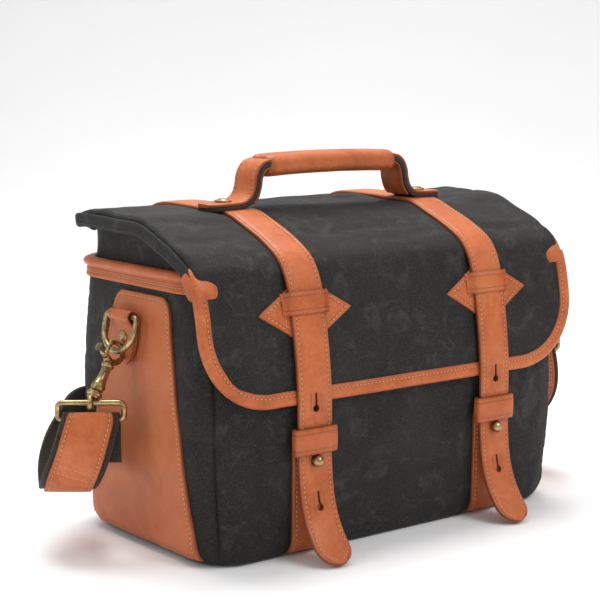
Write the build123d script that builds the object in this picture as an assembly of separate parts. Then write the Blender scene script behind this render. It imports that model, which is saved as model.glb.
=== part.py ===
from build123d import *
import math
import os

# Camera bag: waxed canvas body, leather trims, lid with two buckle-less straps, shoulder strap.
# Millimetres. X runs to the wearer's right seen from the front, -Y is the front, +Z is up.
# The origin is on the floor, midway between the two straps and midway front to back.

# ---- body ----
BODY_W = 322.0          # widest, at the bulge of the gussets
BODY_D = 172.0          # deepest, front canvas to back canvas
BODY_H = 192.0          # floor to the top of the rim
CORNER_R = 28.0         # vertical corners in plan
BASE_INSET = 16.0       # how far the base pulls in under the body
BASE_ROUND = 14.0       # height over which it does
FRONT_LEAN = 20.0       # how far the front's top edge leans back
RIM_INSET = 5.0         # how far the side's top edge leans in
CANVAS_T = 2.5          # waxed canvas with its lining
LINER_T = 7.0           # padded insert
DIVIDER_T = 6.0
DIVIDER_H = 120.0
DIVIDER_X = 52.0
COLLAR_T = 2.0
RIM_BAND = 12.0         # height of the leather band round the mouth
LEATHER_T = 2.2         # binding, patches and side panels

# ---- straps ----
STRAP_W = 28.0
STRAP_T = 3.0
STRAP_X = 81.5          # strap centre line from the middle of the bag
LOWER_TOP = 88.0        # top end of the lower strap on the front
BACK_TOP = 206.4        # top end of the same strap on the back
STUD_Z = 67.0
STUD_BALL_R = 3.5
STUD_NECK_R = 1.8
KEY_CLEAR = 0.6         # keyhole round the ball
KEYHOLE_Z = 102.0       # the spare keyhole above
LOW_KEYHOLE_Z = 36.0    # the spare keyhole below
SPARE_HOLE_R = 2.3
SLIT_W = 1.6
SLIT_L = 8.0
KEEPER_W = 35.2
KEEPER_Z = (72.0, 89.0)
KEEPER_T = 1.8
KEEPER_BACK_T = 1.4

# ---- lid ----
FLAP_W = 332.0
FLAP_LOW = 105.0        # lower edge of the front
FLAP_CORNER_R = 52.0
FLAP_T = 2.4
BINDING = 10.0          # leather edge of the front
DIAMOND = 37.0          # half diagonal of the diamond patch
DIAMOND_RISE = 24.0     # and half its height
DIAMOND_Z = 166.0
LOOP_H = 11.0           # band of the diamond that the strap goes under
PATCH_T = 1.6
LOOP_Z = 167.0          # the strap's tail swings from just under the band

# ---- handle ----
HANDLE_W = 24.0
HANDLE_SPAN = 69.0      # outer face of each riser from the middle
HANDLE_TOP = 264.0
GRIP_HALF = 57.0
GRIP_W = 28.0
GRIP_H = 16.0
HANDLE_LAYER = 2.4
HANDLE_CORE = 3.0
HANDLE_AXIS_Z = 231.0
NECK_TOP = HANDLE_AXIS_Z + 5.0     # full width above here, clear of the lid when tilted
FOOT_END = 104.0
RIVET_X = 88.0
RIVET_R = 5.0
RIVET_SHANK_R = 1.8

# ---- shoulder strap hardware ----
RING_Y = 4.0            # ring tab's middle, front to back
RING_Z = 160.0          # bar of the D-ring
RING_WIRE_R = 2.0
RING_HALF = 18.0        # half width of the D, centre line
RING_SIDE = 6.0         # straight side of the D
RING_BAR_HALF = 19.0    # half of the bar
RING_TOP_R = 3.2
TAB_W = 26.0
TAB_DROP = 33.0
RING_TILT = {-1: 15.0, 1: 30.0}    # degrees that the claw holds the D off the side
CLAW_R = 6.8            # centre line of the claw's bowl
WIRE_SEAT = 1.5         # D-ring wire off the bowl's middle
CLAW_WIRE_R = 1.8
HOOK_REACH = 40.0       # D-ring wire to the bar of the strap ring
BARREL_R = 4.4
SWIVEL_R = 5.0
PIN_R = 2.0
PIN_FIT = 0.06
SLIDE_RING_HALF = 21.8  # half width of the strap ring, centre line
SLIDE_RING_H = 11.0     # between its two bars
SLIDE_WIRE_R = 1.9
RING_CORNER_R = 2.9
WEB_W = 38.0
WEB_T = 2.4
OVERLAY_W = 31.0
OVERLAY_T = 1.6
OVERLAY_GAP = 0.75      # keeps the leather off the webbing where it twists

GAP = 0.3               # between soft faces of different bodies
SEAM = 0.2              # between sewn layers
RUN_GAP = 0.35          # loose fit of leather round a strap or a wire

FRONT_Y = -BODY_D / 2
BACK_Y = BODY_D / 2
BASE_Z = STRAP_T + GAP
HALF_W = BODY_W / 2
HINGE_Y = BACK_Y + 4.4
HINGE_Z = BACK_TOP + GAP
SIDES = {-1: "left", 1: "right"}


def save(shape, node):
    """Write one sub-part under its node name."""
    export_step(shape, f"parts/{node}.step")


# ------------------------------------------------------------------ body shell

def body_rows():
    """Height, then how far the side, front and back pull in there."""
    return [
        (BASE_Z, BASE_INSET + 2, BASE_INSET - 1, BASE_INSET),
        (BASE_Z + BASE_ROUND, 3.0, 1.0, 3.0),
        (0.36 * BODY_H, 0.0, 0.0, 0.0),
        (0.57 * BODY_H, 0.0, 0.0, 0.0),
        (0.78 * BODY_H, 2.0, FRONT_LEAN / 5, 1.0),
        (BODY_H, RIM_INSET, FRONT_LEAN, 3.0),
    ]


def row_at(z):
    """Insets at a height, straight between the rows."""
    rows = body_rows()
    for low, high in zip(rows, rows[1:]):
        if z <= high[0] or high is rows[-1]:
            share = (z - low[0]) / (high[0] - low[0])
            return (z,) + tuple(a + share * (b - a) for a, b in zip(low[1:], high[1:]))


def plan(row, out):
    """Rounded plan outline of the body at a row, moved out by a distance."""
    z, side, front, back = row
    width = BODY_W - 2 * side + 2 * out
    near, far = FRONT_Y + front - out, BACK_Y - back + out
    base = Plane((0, (near + far) / 2, z))
    return base * RectangleRounded(width, far - near, CORNER_R + min(out, 0) / 2)


def body_solid(out, low=BASE_Z, high=BODY_H):
    """The body's outer form, moved out by a distance, between two heights."""
    inner = [r[0] for r in body_rows() if low + 0.5 < r[0] < high - 0.5]
    return loft([plan(row_at(z), out) for z in [low] + inner + [high]], ruled=True)


def region(x0, x1, y0, y1, z0, z1):
    """A box between corners."""
    return Pos((x0 + x1) / 2, (y0 + y1) / 2, (z0 + z1) / 2) * Box(x1 - x0, y1 - y0, z1 - z0)


FAR = 400.0
CUT_Y = BODY_D / 2 - CORNER_R * 0.55
TRAY_Z = BASE_Z + BASE_ROUND
SAG_X = STRAP_X - STRAP_W / 2 - 3.0      # the soft base reaches the floor between the straps
SAG_Y = BODY_D / 2 - 26.0

shell = body_solid(0) - body_solid(-CANVAS_T, BASE_Z + CANVAS_T, BODY_H)
sag = region(-SAG_X, SAG_X, -SAG_Y, SAG_Y, 0, BASE_Z + CANVAS_T / 2)
save((shell & region(-FAR, FAR, -FAR, FAR, -FAR, TRAY_Z)) + sag, "canvas_bottom")
upper = shell & region(-FAR, FAR, -FAR, FAR, TRAY_Z, FAR)
save(upper & region(-FAR, FAR, -FAR, -CUT_Y, 0, FAR), "canvas_front")
save(upper & region(-FAR, FAR, CUT_Y, FAR, 0, FAR), "canvas_back")
save(upper & region(-FAR, 0, -CUT_Y, CUT_Y, 0, FAR), "gusset_left")
save(upper & region(0, FAR, -CUT_Y, CUT_Y, 0, FAR), "gusset_right")

rim_low = BODY_H - RIM_BAND
save(
    body_solid(SEAM + LEATHER_T, rim_low, BODY_H) - body_solid(SEAM, rim_low, BODY_H),
    "rim_binding",
)

LINER_OUT = CANVAS_T + COLLAR_T + 2 * SEAM
LINER_TOP = BODY_H - 8.0
LINER_FLOOR = BASE_Z + CANVAS_T + SEAM
save(
    body_solid(-LINER_OUT, LINER_FLOOR, LINER_TOP)
    - body_solid(-LINER_OUT - LINER_T, LINER_FLOOR + LINER_T, LINER_TOP),
    "padded_liner",
)


def divider(side):
    """A padded wall across the insert, shaped to its front and back."""
    gap = LINER_OUT + LINER_T + GAP
    floor = LINER_FLOOR + LINER_T + GAP
    centre = side * DIVIDER_X
    wall = region(centre - DIVIDER_T / 2, centre + DIVIDER_T / 2, -FAR, FAR, floor, floor + DIVIDER_H)
    return wall & body_solid(-gap, floor, floor + DIVIDER_H)


for side, name in SIDES.items():
    save(divider(side), f"divider_{name}")


# ---------------------------------------------------------------- strap sections

def offset_path(points, out):
    """An open path in the YZ plane moved outwards, with mitred corners."""
    normals = []
    for (y0, z0), (y1, z1) in zip(points, points[1:]):
        length = math.hypot(y1 - y0, z1 - z0)
        normals.append(((z1 - z0) / length, -(y1 - y0) / length))
    moved = []
    for i, (y, z) in enumerate(points):
        a = normals[max(i - 1, 0)]
        b = normals[min(i, len(normals) - 1)]
        my, mz = a[0] + b[0], a[1] + b[1]
        scale = 2 * out / (my * my + mz * mz)
        moved.append((y + my * scale, z + mz * scale))
    return moved


def slab(points, low, high, x0, x1):
    """A layer that follows a path in the YZ plane, between two offsets, across X."""
    outline = offset_path(points, low) + offset_path(points, high)[::-1]
    face = Plane.YZ.offset(x0) * make_face(Polyline(*outline, close=True))
    return extrude(face, amount=x1 - x0)


def point_at(points, z):
    """The point of a falling path at a height."""
    for (y0, z0), (y1, z1) in zip(points, points[1:]):
        if z1 <= z <= z0:
            share = (z0 - z) / (z0 - z1)
            return (y0 + share * (y1 - y0), z)


def part_of(points, high, low):
    """The stretch of a falling path between two heights."""
    inside = [p for p in points if low < p[1] < high]
    return [point_at(points, high)] + inside + [point_at(points, low)]


# Outer faces of the strap: over the lid from the back, down the front, and the free tail.
TOP_PATH = [
    (HINGE_Y - 0.4, HINGE_Z + 1.3), (88.3, 215.0), (83.0, 222.5), (70.0, 227.0), (30.0, 227.6),
    (14.0, 227.0), (-14.0, 226.0), (-35.0, 219.0), (-57.0, 210.0), (-73.0, 200.5), (-80.5, 191.0),
]
FOLD_Y, FOLD_Z = TOP_PATH[-1]
FRONT_PATH = [
    (FOLD_Y - 0.15, FOLD_Z - 0.4), (-85.2, 179.0), (-90.0, 155.0), (-93.2, 130.0), (-94.6, 110.0),
    (-94.8, FLAP_LOW - 5),
]
TAIL_PATH = [
    (-85.2, 179.0), (-90.0, 155.0), (-93.2, 130.0), (-94.6, 110.0), (-95.2, 60.0),
    (-99.5, 36.0), (-109.0, 18.0), (-124.0, STRAP_T + 0.4),
]


def front_hole(radius, x, y, z):
    """A round cutter along Y through the front straps."""
    return Pos(x, y, z) * Rot(90, 0, 0) * Cylinder(radius, 4 * STRAP_T)


def keyhole(x, z, radius, y):
    """A round hole with a slit above it."""
    slit = region(x - SLIT_W / 2, x + SLIT_W / 2, y - 7, y + 7, z, z + radius + SLIT_L)
    return front_hole(radius, x, y, z) + slit


def body_profile():
    """Front, underside and back of the body in the YZ plane, from the front strap's top end."""
    rows = body_rows()
    front = [(FRONT_Y + r[2], r[0]) for r in rows if r[0] < LOWER_TOP][::-1]
    step_low, step_high = rim_low - 6.0, rim_low - 1.5
    back = [(BACK_Y - r[3], r[0]) for r in rows if r[0] < step_low]
    over = LEATHER_T + 2 * SEAM
    back.append((BACK_Y - row_at(step_low)[3], step_low))
    back += [(BACK_Y - row_at(z)[3] + over, z) for z in (step_high, BODY_H)]
    return [(FRONT_Y, LOWER_TOP)] + front + back + [(back[-1][0], BACK_TOP)]


def lower_strap(side):
    """From the front, under the bag and up the back to the lid's hinge."""
    x = side * STRAP_X
    half = STRAP_W / 2
    strap = slab(body_profile(), GAP, GAP + STRAP_T, x - half, x + half)
    end = Pos(x, FRONT_Y, LOWER_TOP - half) * Rot(90, 0, 0) * Cylinder(half, 3 * STRAP_T)
    square = region(x - FAR / 4, x + FAR / 4, -FAR, 0, LOWER_TOP - half, LOWER_TOP + 1)
    strap = strap - (square - end)
    return strap - front_hole(STUD_NECK_R, x, FRONT_Y, STUD_Z)


def stud(side):
    """Ball on a neck, with a washer on the strap and a shank through it."""
    x = side * STRAP_X
    face = FRONT_Y - GAP - STRAP_T
    shank = Pos(x, face + STRAP_T / 2, STUD_Z) * Rot(90, 0, 0) * Cylinder(STUD_NECK_R - 0.05, STRAP_T)
    washer = Pos(x, face - 0.45, STUD_Z) * Rot(90, 0, 0) * Cylinder(STUD_BALL_R, 0.9)
    neck = Pos(x, face - 3.5, STUD_Z) * Rot(90, 0, 0) * Cylinder(STUD_NECK_R, 7.0)
    ball = Pos(x, face - 8.4, STUD_Z) * Sphere(STUD_BALL_R)
    return shank + washer + neck + ball


for side, name in SIDES.items():
    save(lower_strap(side), f"lower_strap_{name}")
    save(stud(side), f"stud_{name}")


PANEL_OUTLINE = [       # y, z
    (-0.395 * BODY_D, 0), (0.407 * BODY_D, 0), (0.302 * BODY_D, 80), (24, 176), (-40, 176),
    (-0.326 * BODY_D, 90),
]


def side_panel(side):
    """Leather panel on the gusset, broad at the floor and narrow at the top."""
    outline = Polyline(*PANEL_OUTLINE, close=True)
    start = 0.0 if side > 0 else -FAR / 2
    prism = extrude(Plane.YZ.offset(start) * make_face(outline), amount=FAR / 2)
    top = rim_low - 2.0
    skin = body_solid(SEAM + LEATHER_T, BASE_Z, top) - body_solid(SEAM, BASE_Z, top)
    return skin & prism


for side, name in SIDES.items():
    save(side_panel(side), f"side_panel_{name}")


# ------------------------------------------------------------------------- collar

TOP_IN = -(STRAP_T + SEAM + FLAP_T)      # inner face of the lid's top, from the strap's outer face
under_lid = offset_path(TOP_PATH, TOP_IN - 1.0)
mask_outline = [(FAR, under_lid[0][1])] + under_lid + [(-FAR, under_lid[-1][1]), (-FAR, 0), (FAR, 0)]
under_mask = extrude(
    Plane.YZ.offset(-FAR / 2) * make_face(Polyline(*mask_outline, close=True)), amount=FAR
)
rim_row = row_at(BODY_H)
collar_out = -(CANVAS_T + SEAM)


def straight_ring(out, low, high):
    """The mouth's outline as an upright prism."""
    return extrude(plan((low,) + rim_row[1:], out), amount=high - low)


collar_low = LINER_TOP + SEAM
collar = straight_ring(collar_out, collar_low, 230) - straight_ring(collar_out - COLLAR_T, collar_low, 230)
skirt_gap = region(-FAR, FAR, -FAR, FAR, 0, BODY_H - 4.0)
save((collar - skirt_gap) & under_mask, "collar")


# ---------------------------------------------------------------------------- lid

half_flap = FLAP_W / 2
save(slab(TOP_PATH, TOP_IN, TOP_IN + FLAP_T, -half_flap, half_flap), "flap_top_canvas")

CURTAIN_OUT = -(STRAP_T + SEAM + PATCH_T + SEAM)


def front_mask(inset):
    """Front outline of the lid: square at the fold, rounded lower corners."""
    height = 2 * (FOLD_Z + 30 - FLAP_LOW)
    shape = RectangleRounded(FLAP_W - 2 * inset, height, FLAP_CORNER_R - inset)
    place = Plane.XZ * Pos(0, FLAP_LOW + inset + height / 2) * shape
    return extrude(place, amount=FAR / 2)



def fold_mask():
    """Everything on the front's side of the mitre where the lid folds down."""
    (y0, z0), (y1, z1) = TOP_PATH[-2:]
    length = math.hypot(y1 - y0, z1 - z0)
    inward = ((z0 - z1) / length, (y1 - y0) / length)
    start = (FOLD_Y + (y1 - y0) / length * GAP, FOLD_Z + (z1 - z0) / length * GAP)
    inner = (start[0] + 40 * inward[0], start[1] + 40 * inward[1])
    outer = (start[0] - 40 * inward[0], start[1] - 40 * inward[1])
    outline = Polyline(
        outer, inner, (inner[0], -10), (outer[0] - 60, -10), (outer[0] - 60, outer[1]), close=True
    )
    return extrude(Plane.YZ.offset(-FAR / 2) * make_face(outline), amount=FAR)


front_side = fold_mask()
canvas_slab = slab(FRONT_PATH, CURTAIN_OUT - FLAP_T, CURTAIN_OUT, -half_flap, half_flap) & front_side
edge_slab = slab(FRONT_PATH, CURTAIN_OUT - FLAP_T - 0.2, CURTAIN_OUT + 1.2, -half_flap, half_flap)
edge_slab = edge_slab & front_side
save(canvas_slab & front_mask(BINDING), "flap_front_canvas")
save((edge_slab & front_mask(0)) - front_mask(BINDING - SEAM), "flap_binding")


def diamond(side):
    """Diamond patch sewn to the lid's front, with the band that the strap goes under."""
    x = side * STRAP_X
    zc = DIAMOND_Z
    rise = DIAMOND_RISE
    tips = Polyline((x, zc + rise - 4), (x + DIAMOND, zc), (x, zc - rise), (x - DIAMOND, zc), close=True)
    prism = extrude(Plane.XZ * make_face(tips), amount=FAR / 2)
    low = CURTAIN_OUT + SEAM
    plate = slab(FRONT_PATH, low, low + PATCH_T, x - DIAMOND, x + DIAMOND) & prism
    stretch = part_of(FRONT_PATH, LOOP_Z + LOOP_H, LOOP_Z)
    half = STRAP_W / 2 + RUN_GAP
    band = slab(stretch, low, RUN_GAP + PATCH_T, x - half - PATCH_T, x + half + PATCH_T)
    longer = part_of(FRONT_PATH, LOOP_Z + LOOP_H + 0.5, LOOP_Z - 0.5)
    band = band - slab(longer, low + PATCH_T, RUN_GAP, x - half, x + half)
    return plate + band


def corner_tab(side):
    """Leather patch on the front's top corner, where the edge binding ends."""
    low = CURTAIN_OUT + 1.2 + SEAM
    x0, x1 = sorted((side * (half_flap - 18), side * half_flap))
    return slab(part_of(FRONT_PATH, 189.0, 172.0), low, low + PATCH_T, x0, x1)


def tail(side):
    """Free end of the strap, with its keyholes and rounded tip."""
    x = side * STRAP_X
    path = part_of(TAIL_PATH, LOOP_Z - 0.8, TAIL_PATH[-1][1])
    band = slab(path, -STRAP_T, 0, x - STRAP_W / 2, x + STRAP_W / 2)
    tip = TAIL_PATH[-1][1] - STRAP_T
    outline = Plane.XZ * Pos(x, tip + 150) * RectangleRounded(STRAP_W, 300, STRAP_W / 2 - 0.5)
    band = band & extrude(outline, amount=FAR / 2)
    band = band - keyhole(x, STUD_Z, STUD_BALL_R + KEY_CLEAR, point_at(TAIL_PATH, STUD_Z)[0])
    band = band - keyhole(x, KEYHOLE_Z, SPARE_HOLE_R, point_at(TAIL_PATH, KEYHOLE_Z)[0])
    return band - keyhole(x, LOW_KEYHOLE_Z, SPARE_HOLE_R, point_at(TAIL_PATH, LOW_KEYHOLE_Z)[0])


def keeper(side):
    """Leather loop that slides on the tail."""
    x = side * STRAP_X
    path = part_of(TAIL_PATH, KEEPER_Z[1], KEEPER_Z[0])
    back = -STRAP_T - RUN_GAP
    half = KEEPER_W / 2
    outer = slab(path, back - KEEPER_BACK_T, RUN_GAP + KEEPER_T, x - half, x + half)
    hollow = STRAP_W / 2 + RUN_GAP
    longer = part_of(TAIL_PATH, KEEPER_Z[1] + 1, KEEPER_Z[0] - 1)
    return outer - slab(longer, back, RUN_GAP, x - hollow, x + hollow)


for side, name in SIDES.items():
    x = side * STRAP_X
    half = STRAP_W / 2
    shaft = Pos(side * RIVET_X, 0, TOP_PATH[6][1]) * Cylinder(RIVET_SHANK_R, 16)
    save(slab(TOP_PATH, -STRAP_T, 0, x - half, x + half) - shaft, f"top_strap_{name}")
    mid = part_of(FRONT_PATH, FRONT_PATH[0][1], LOOP_Z)
    save(slab(mid, -STRAP_T, 0, x - half, x + half) & front_side, f"mid_strap_{name}")
    save(diamond(side), f"diamond_patch_{name}")
    save(corner_tab(side), f"corner_tab_{name}")
    save(tail(side), f"strap_tail_{name}")
    save(keeper(side), f"strap_keeper_{name}")


# ------------------------------------------------------------------------- handle

def arch(depth):
    """Handle outline in the XZ plane, moved in by a depth."""
    side_x = HANDLE_SPAN - depth
    top = HANDLE_TOP - (GRIP_H - 2 * HANDLE_LAYER - HANDLE_CORE) / 2 - depth
    shape = [(side_x, NECK_TOP), (side_x, top - 12), (side_x - 9, top), (GRIP_HALF - 8, top)]
    return [(-x, z) for x, z in shape] + [(x, z) for x, z in reversed(shape)]


def handle_layer(outer, inner):
    """One layer of the handle between two depths, full width above the necks."""
    outline = arch(outer) + arch(inner)[::-1]
    face = Plane.XZ.offset(-HANDLE_W / 2) * make_face(Polyline(*outline, close=True))
    return extrude(face, amount=HANDLE_W)


def handle_necks(outer, inner):
    """Narrow roots that bend where the handle meets its feet."""
    top = NECK_TOP + 0.5
    low = HANDLE_AXIS_Z - 2.4
    solids = []
    for side in SIDES:
        x0, x1 = sorted((side * (HANDLE_SPAN - outer), side * (HANDLE_SPAN - inner)))
        solids.append(region(x0, x1, -3, 3, low, top))
    return solids


stack = 2 * HANDLE_LAYER + HANDLE_CORE + 2 * SEAM
band = handle_layer(0, HANDLE_LAYER)
for neck in handle_necks(0, HANDLE_LAYER):
    band = band + neck
save(band, "handle_band")
core_in = HANDLE_LAYER + SEAM + HANDLE_CORE
save(handle_layer(HANDLE_LAYER + SEAM, core_in), "handle_core")
save(handle_layer(core_in + SEAM, stack), "handle_lining")

grip_mid = HANDLE_TOP - GRIP_H / 2
grip_face = Plane.YZ.offset(-GRIP_HALF) * Pos(0, grip_mid) * RectangleRounded(GRIP_W, GRIP_H, 6.5)
bore_top = arch(0)[3][1] + SEAM
grip = extrude(grip_face, amount=2 * GRIP_HALF)
bore_half = HANDLE_W / 2 + SEAM
grip = grip - region(-FAR, FAR, -bore_half, bore_half, bore_top - stack - 2 * SEAM, bore_top)
corner_room = handle_layer(-SEAM, stack + SEAM)
save(grip - corner_room, "handle_grip")

FOOT_Z = 226.5          # strap's outer face under the feet, midway front to back
FOOT_SLOPE = 1.0 / 28.0
STEM_LOW = FOOT_Z - 2.5
foot_path = [(y, FOOT_Z + y * FOOT_SLOPE) for y in (HANDLE_W / 2 + 1, -HANDLE_W / 2 - 1)]
for side, name in SIDES.items():
    x0, x1 = sorted((side * (HANDLE_SPAN + GAP), side * FOOT_END))
    shank = Pos(side * RIVET_X, 0, FOOT_Z) * Cylinder(RIVET_SHANK_R, 16)
    save(slab(foot_path, SEAM, SEAM + LEATHER_T, x0, x1) - shank, f"handle_foot_{name}")
    top = FOOT_Z + SEAM + LEATHER_T + 0.25
    head = Pos(side * RIVET_X, 0, top + 0.6) * Cylinder(RIVET_R, 1.2)
    dome = Cone(RIVET_R, RIVET_R * 0.55, 1.2, align=(Align.CENTER, Align.CENTER, Align.MIN))
    dome = Pos(side * RIVET_X, 0, top + 1.2) * dome
    stem = Cylinder(RIVET_SHANK_R - 0.05, top - STEM_LOW)
    stem = Pos(side * RIVET_X, 0, (top + STEM_LOW) / 2) * stem
    save(head + dome + stem, f"handle_rivet_{name}")


# ---------------------------------------------------- D-rings, hooks and strap rings

PANEL_FACE = HALF_W - row_at(RING_Z - TAB_DROP)[1] + SEAM + LEATHER_T
BAR_X = PANEL_FACE + GAP + RING_WIRE_R + RUN_GAP + LEATHER_T


def ring_tab(side):
    """Leather loop round the D-ring's bar, with a leaf-shaped end below."""
    outer = RING_WIRE_R + RUN_GAP + LEATHER_T
    tube = Pos(side * BAR_X, RING_Y, RING_Z) * Rot(90, 0, 0) * Cylinder(outer, TAB_W)
    face = PANEL_FACE + GAP
    leaf = Polyline(
        (RING_Y - TAB_W / 2, RING_Z), (RING_Y + TAB_W / 2, RING_Z), (RING_Y + 9, RING_Z - 20),
        (RING_Y + 2, RING_Z - TAB_DROP), (RING_Y - 2, RING_Z - TAB_DROP), (RING_Y - 9, RING_Z - 20),
        close=True,
    )
    start = face if side > 0 else -face - LEATHER_T
    plate = extrude(Plane.YZ.offset(start) * make_face(leaf), amount=LEATHER_T)
    bore = Pos(side * BAR_X, RING_Y, RING_Z) * Rot(90, 0, 0) * Cylinder(RING_WIRE_R + RUN_GAP, TAB_W + 2)
    hole = Pos(side * face, RING_Y, RING_Z - 13) * Rot(0, 90, 0) * Cylinder(RIVET_SHANK_R, 12)
    return tube + plate - bore - hole


def tab_rivet(side):
    """Domed rivet through the tab."""
    face = PANEL_FACE + GAP + LEATHER_T
    z = RING_Z - 13
    shank = Rot(0, 90, 0) * Cylinder(RIVET_SHANK_R - 0.05, LEATHER_T)
    shank = Pos(side * (face - LEATHER_T / 2), RING_Y, z) * shank
    head = Pos(side * (face + 0.5), RING_Y, z) * Rot(0, 90, 0) * Cylinder(3.6, 1.0)
    return shank + head


def d_ring(side):
    """D of round wire, hanging from its bar and held off the side by the claw."""
    drop = RING_SIDE + RING_HALF
    flat = Pos(0, -drop / 2) * Rectangle(2 * RING_BAR_HALF, drop)
    flat = fillet(flat.vertices().sort_by(Axis.Y)[:2], RING_HALF)
    flat = fillet(flat.vertices().sort_by(Axis.Y)[-2:], RING_TOP_R)
    wire = (Plane.YZ * flat).wire()
    start = Plane(origin=wire @ 0, z_dir=wire % 0)
    loop = sweep(start * Circle(RING_WIRE_R), path=wire)
    tilt = side * RING_TILT[side]
    return Pos(side * BAR_X, RING_Y, RING_Z) * Rot(0, -tilt, 0) * loop


def wire_point(side):
    """Lowest point of the D's wire."""
    drop = RING_SIDE + RING_HALF
    tilt = math.radians(RING_TILT[side])
    return Vector(side * (BAR_X + drop * math.sin(tilt)), RING_Y, RING_Z - drop * math.cos(tilt))


HOOK_DIR = {-1: Vector(-0.60, -0.20, -0.775).normalized(), 1: Vector(0.45, -0.52, -0.725).normalized()}
RING_LINE = {-1: Vector(0.80, -0.60, 0).normalized(), 1: Vector(0.83, -0.56, 0).normalized()}
BAR_DEPTH = HOOK_REACH - WIRE_SEAT


def hook_frame(side):
    """Frame at the middle of the claw's bowl: z towards the D-ring, y along its wire."""
    down = HOOK_DIR[side]
    along = Vector(0, 1, 0) - down * down.Y
    x_dir = along.normalized().cross(-down)
    origin = wire_point(side) + down * WIRE_SEAT
    return Plane(origin=origin, x_dir=x_dir * side, z_dir=-down)


MOUTH = (-48.0, 38.0)   # the claw's open stretch, degrees from its side
GATE_R = 1.0
GATE_TIP = Vector(CLAW_R - 1.6, 0, 2.9)     # clears the claw's nose as the gate turns inwards


def mouth_wedge(low, high):
    """Wedge across the bowl between two angles on its side away from the bag."""
    reach = 30.0
    points = [(0, 0)]
    for angle in (low, (low + high) / 2, high):
        a = math.radians(angle)
        points.append((reach * math.cos(a), reach * math.sin(a)))
    return extrude(Plane.XZ * make_face(Polyline(*points, close=True)), amount=8, both=True)


def claw(side):
    """Bowl and barrel of the snap hook, bored for the swivel pin."""
    bowl = Rot(90, 0, 0) * Torus(CLAW_R, CLAW_WIRE_R) - mouth_wedge(*MOUTH)
    top = -CLAW_R + 0.5
    length = BAR_DEPTH - 7.5 - CLAW_R
    barrel = Pos(0, 0, top - length / 2) * Cone(BARREL_R, CLAW_WIRE_R + 0.8, length)
    bore = Pos(0, 0, top - length) * Cylinder(PIN_R + PIN_FIT, 2 * (length - 6))
    return hook_frame(side) * (bowl + barrel - bore)


def gate_pivot(side):
    """Where the gate turns, in the hook's frame."""
    a = math.radians(MOUTH[0] + 12)
    return Vector(CLAW_R * math.cos(a), 0, CLAW_R * math.sin(a))


def gate(side):
    """Sprung gate across the mouth, on its pin, with its thumb lever."""
    pivot = gate_pivot(side)
    reach = GATE_TIP - pivot
    base = (Align.CENTER, Align.CENTER, Align.MIN)
    arm = Plane(origin=pivot, z_dir=reach) * Cylinder(GATE_R, reach.length, align=base)
    pin = Pos(pivot.X, 0, pivot.Z) * Rot(90, 0, 0) * Cylinder(GATE_R + 0.1, 2 * CLAW_WIRE_R)
    lever = Pos(pivot.X + 3.4, 0, pivot.Z) * Rot(0, 90, 0) * Cylinder(GATE_R + 0.1, 6.0)
    thumb = Pos(pivot.X + 7.0, 0, pivot.Z) * Rot(0, 90, 0) * Cylinder(2.6, 1.6)
    return hook_frame(side) * (arm + pin + lever + thumb)


def bar_point(side):
    """Middle of the strap ring's upper bar."""
    return wire_point(side) + HOOK_DIR[side] * HOOK_REACH


def swivel(side):
    """Swivel eye that carries the strap ring, with the pin the claw turns on."""
    length = BAR_DEPTH - 7.5 - CLAW_R
    seat = -CLAW_R + 0.5 - length - SEAM
    body = Pos(0, 0, seat) * Cylinder(SWIVEL_R, 12.0, align=(Align.CENTER, Align.CENTER, Align.MAX))
    pin = Pos(0, 0, seat - 1) * Cylinder(PIN_R, length - 6.5, align=(Align.CENTER, Align.CENTER, Align.MIN))
    eye = Plane(origin=bar_point(side), z_dir=RING_LINE[side]) * Cylinder(SLIDE_WIRE_R + 0.1, 40)
    return hook_frame(side) * (body + pin) - eye


def strap_ring(side):
    """Rounded rectangular ring between the swivel and the webbing."""
    half, drop = SLIDE_RING_HALF, SLIDE_RING_H
    plane = Plane(origin=bar_point(side), x_dir=RING_LINE[side], z_dir=RING_LINE[side].cross(Vector(0, 0, 1)))
    outline = plane * (Pos(0, -drop / 2) * RectangleRounded(2 * half, drop, RING_CORNER_R))
    wire = outline.wire()
    start = Plane(origin=wire @ 0, z_dir=wire % 0)
    return sweep(start * Circle(SLIDE_WIRE_R), path=wire)


for side, name in SIDES.items():
    save(ring_tab(side), f"ring_tab_{name}")
    save(tab_rivet(side), f"tab_rivet_{name}")
    save(d_ring(side), f"d_ring_{name}")
    save(claw(side), f"hook_claw_{name}")
    save(gate(side), f"hook_gate_{name}")
    save(swivel(side), f"hook_swivel_{name}")
    save(strap_ring(side), f"strap_ring_{name}")


# ----------------------------------------------------------------- shoulder strap

def lower_bar(side):
    return bar_point(side) - Vector(0, 0, SLIDE_RING_H)


def outward(side):
    """Horizontal direction that the strap's leather face looks in at the ring."""
    line = RING_LINE[side]
    return Vector(line.Y, -line.X, 0)


WRAP_R = SLIDE_WIRE_R + RUN_GAP + WEB_T / 2


def wrap(side):
    """Stitched end, up behind the strap and over the ring's lower bar."""
    centre, out, width = lower_bar(side), outward(side), RING_LINE[side]
    stations = [(centre - out * WRAP_R - Vector(0, 0, drop), width) for drop in (30.0, 15.0)]
    for angle in (0, 30, 60, 90, 120, 150, 180):
        a = math.radians(angle)
        spot = centre - out * (WRAP_R * math.cos(a)) + Vector(0, 0, WRAP_R * math.sin(a))
        stations.append((spot, width))
    return stations


def station(x, y, z, wx, wy, wz):
    return (Vector(x, y, z), Vector(wx, wy, wz))


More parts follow.
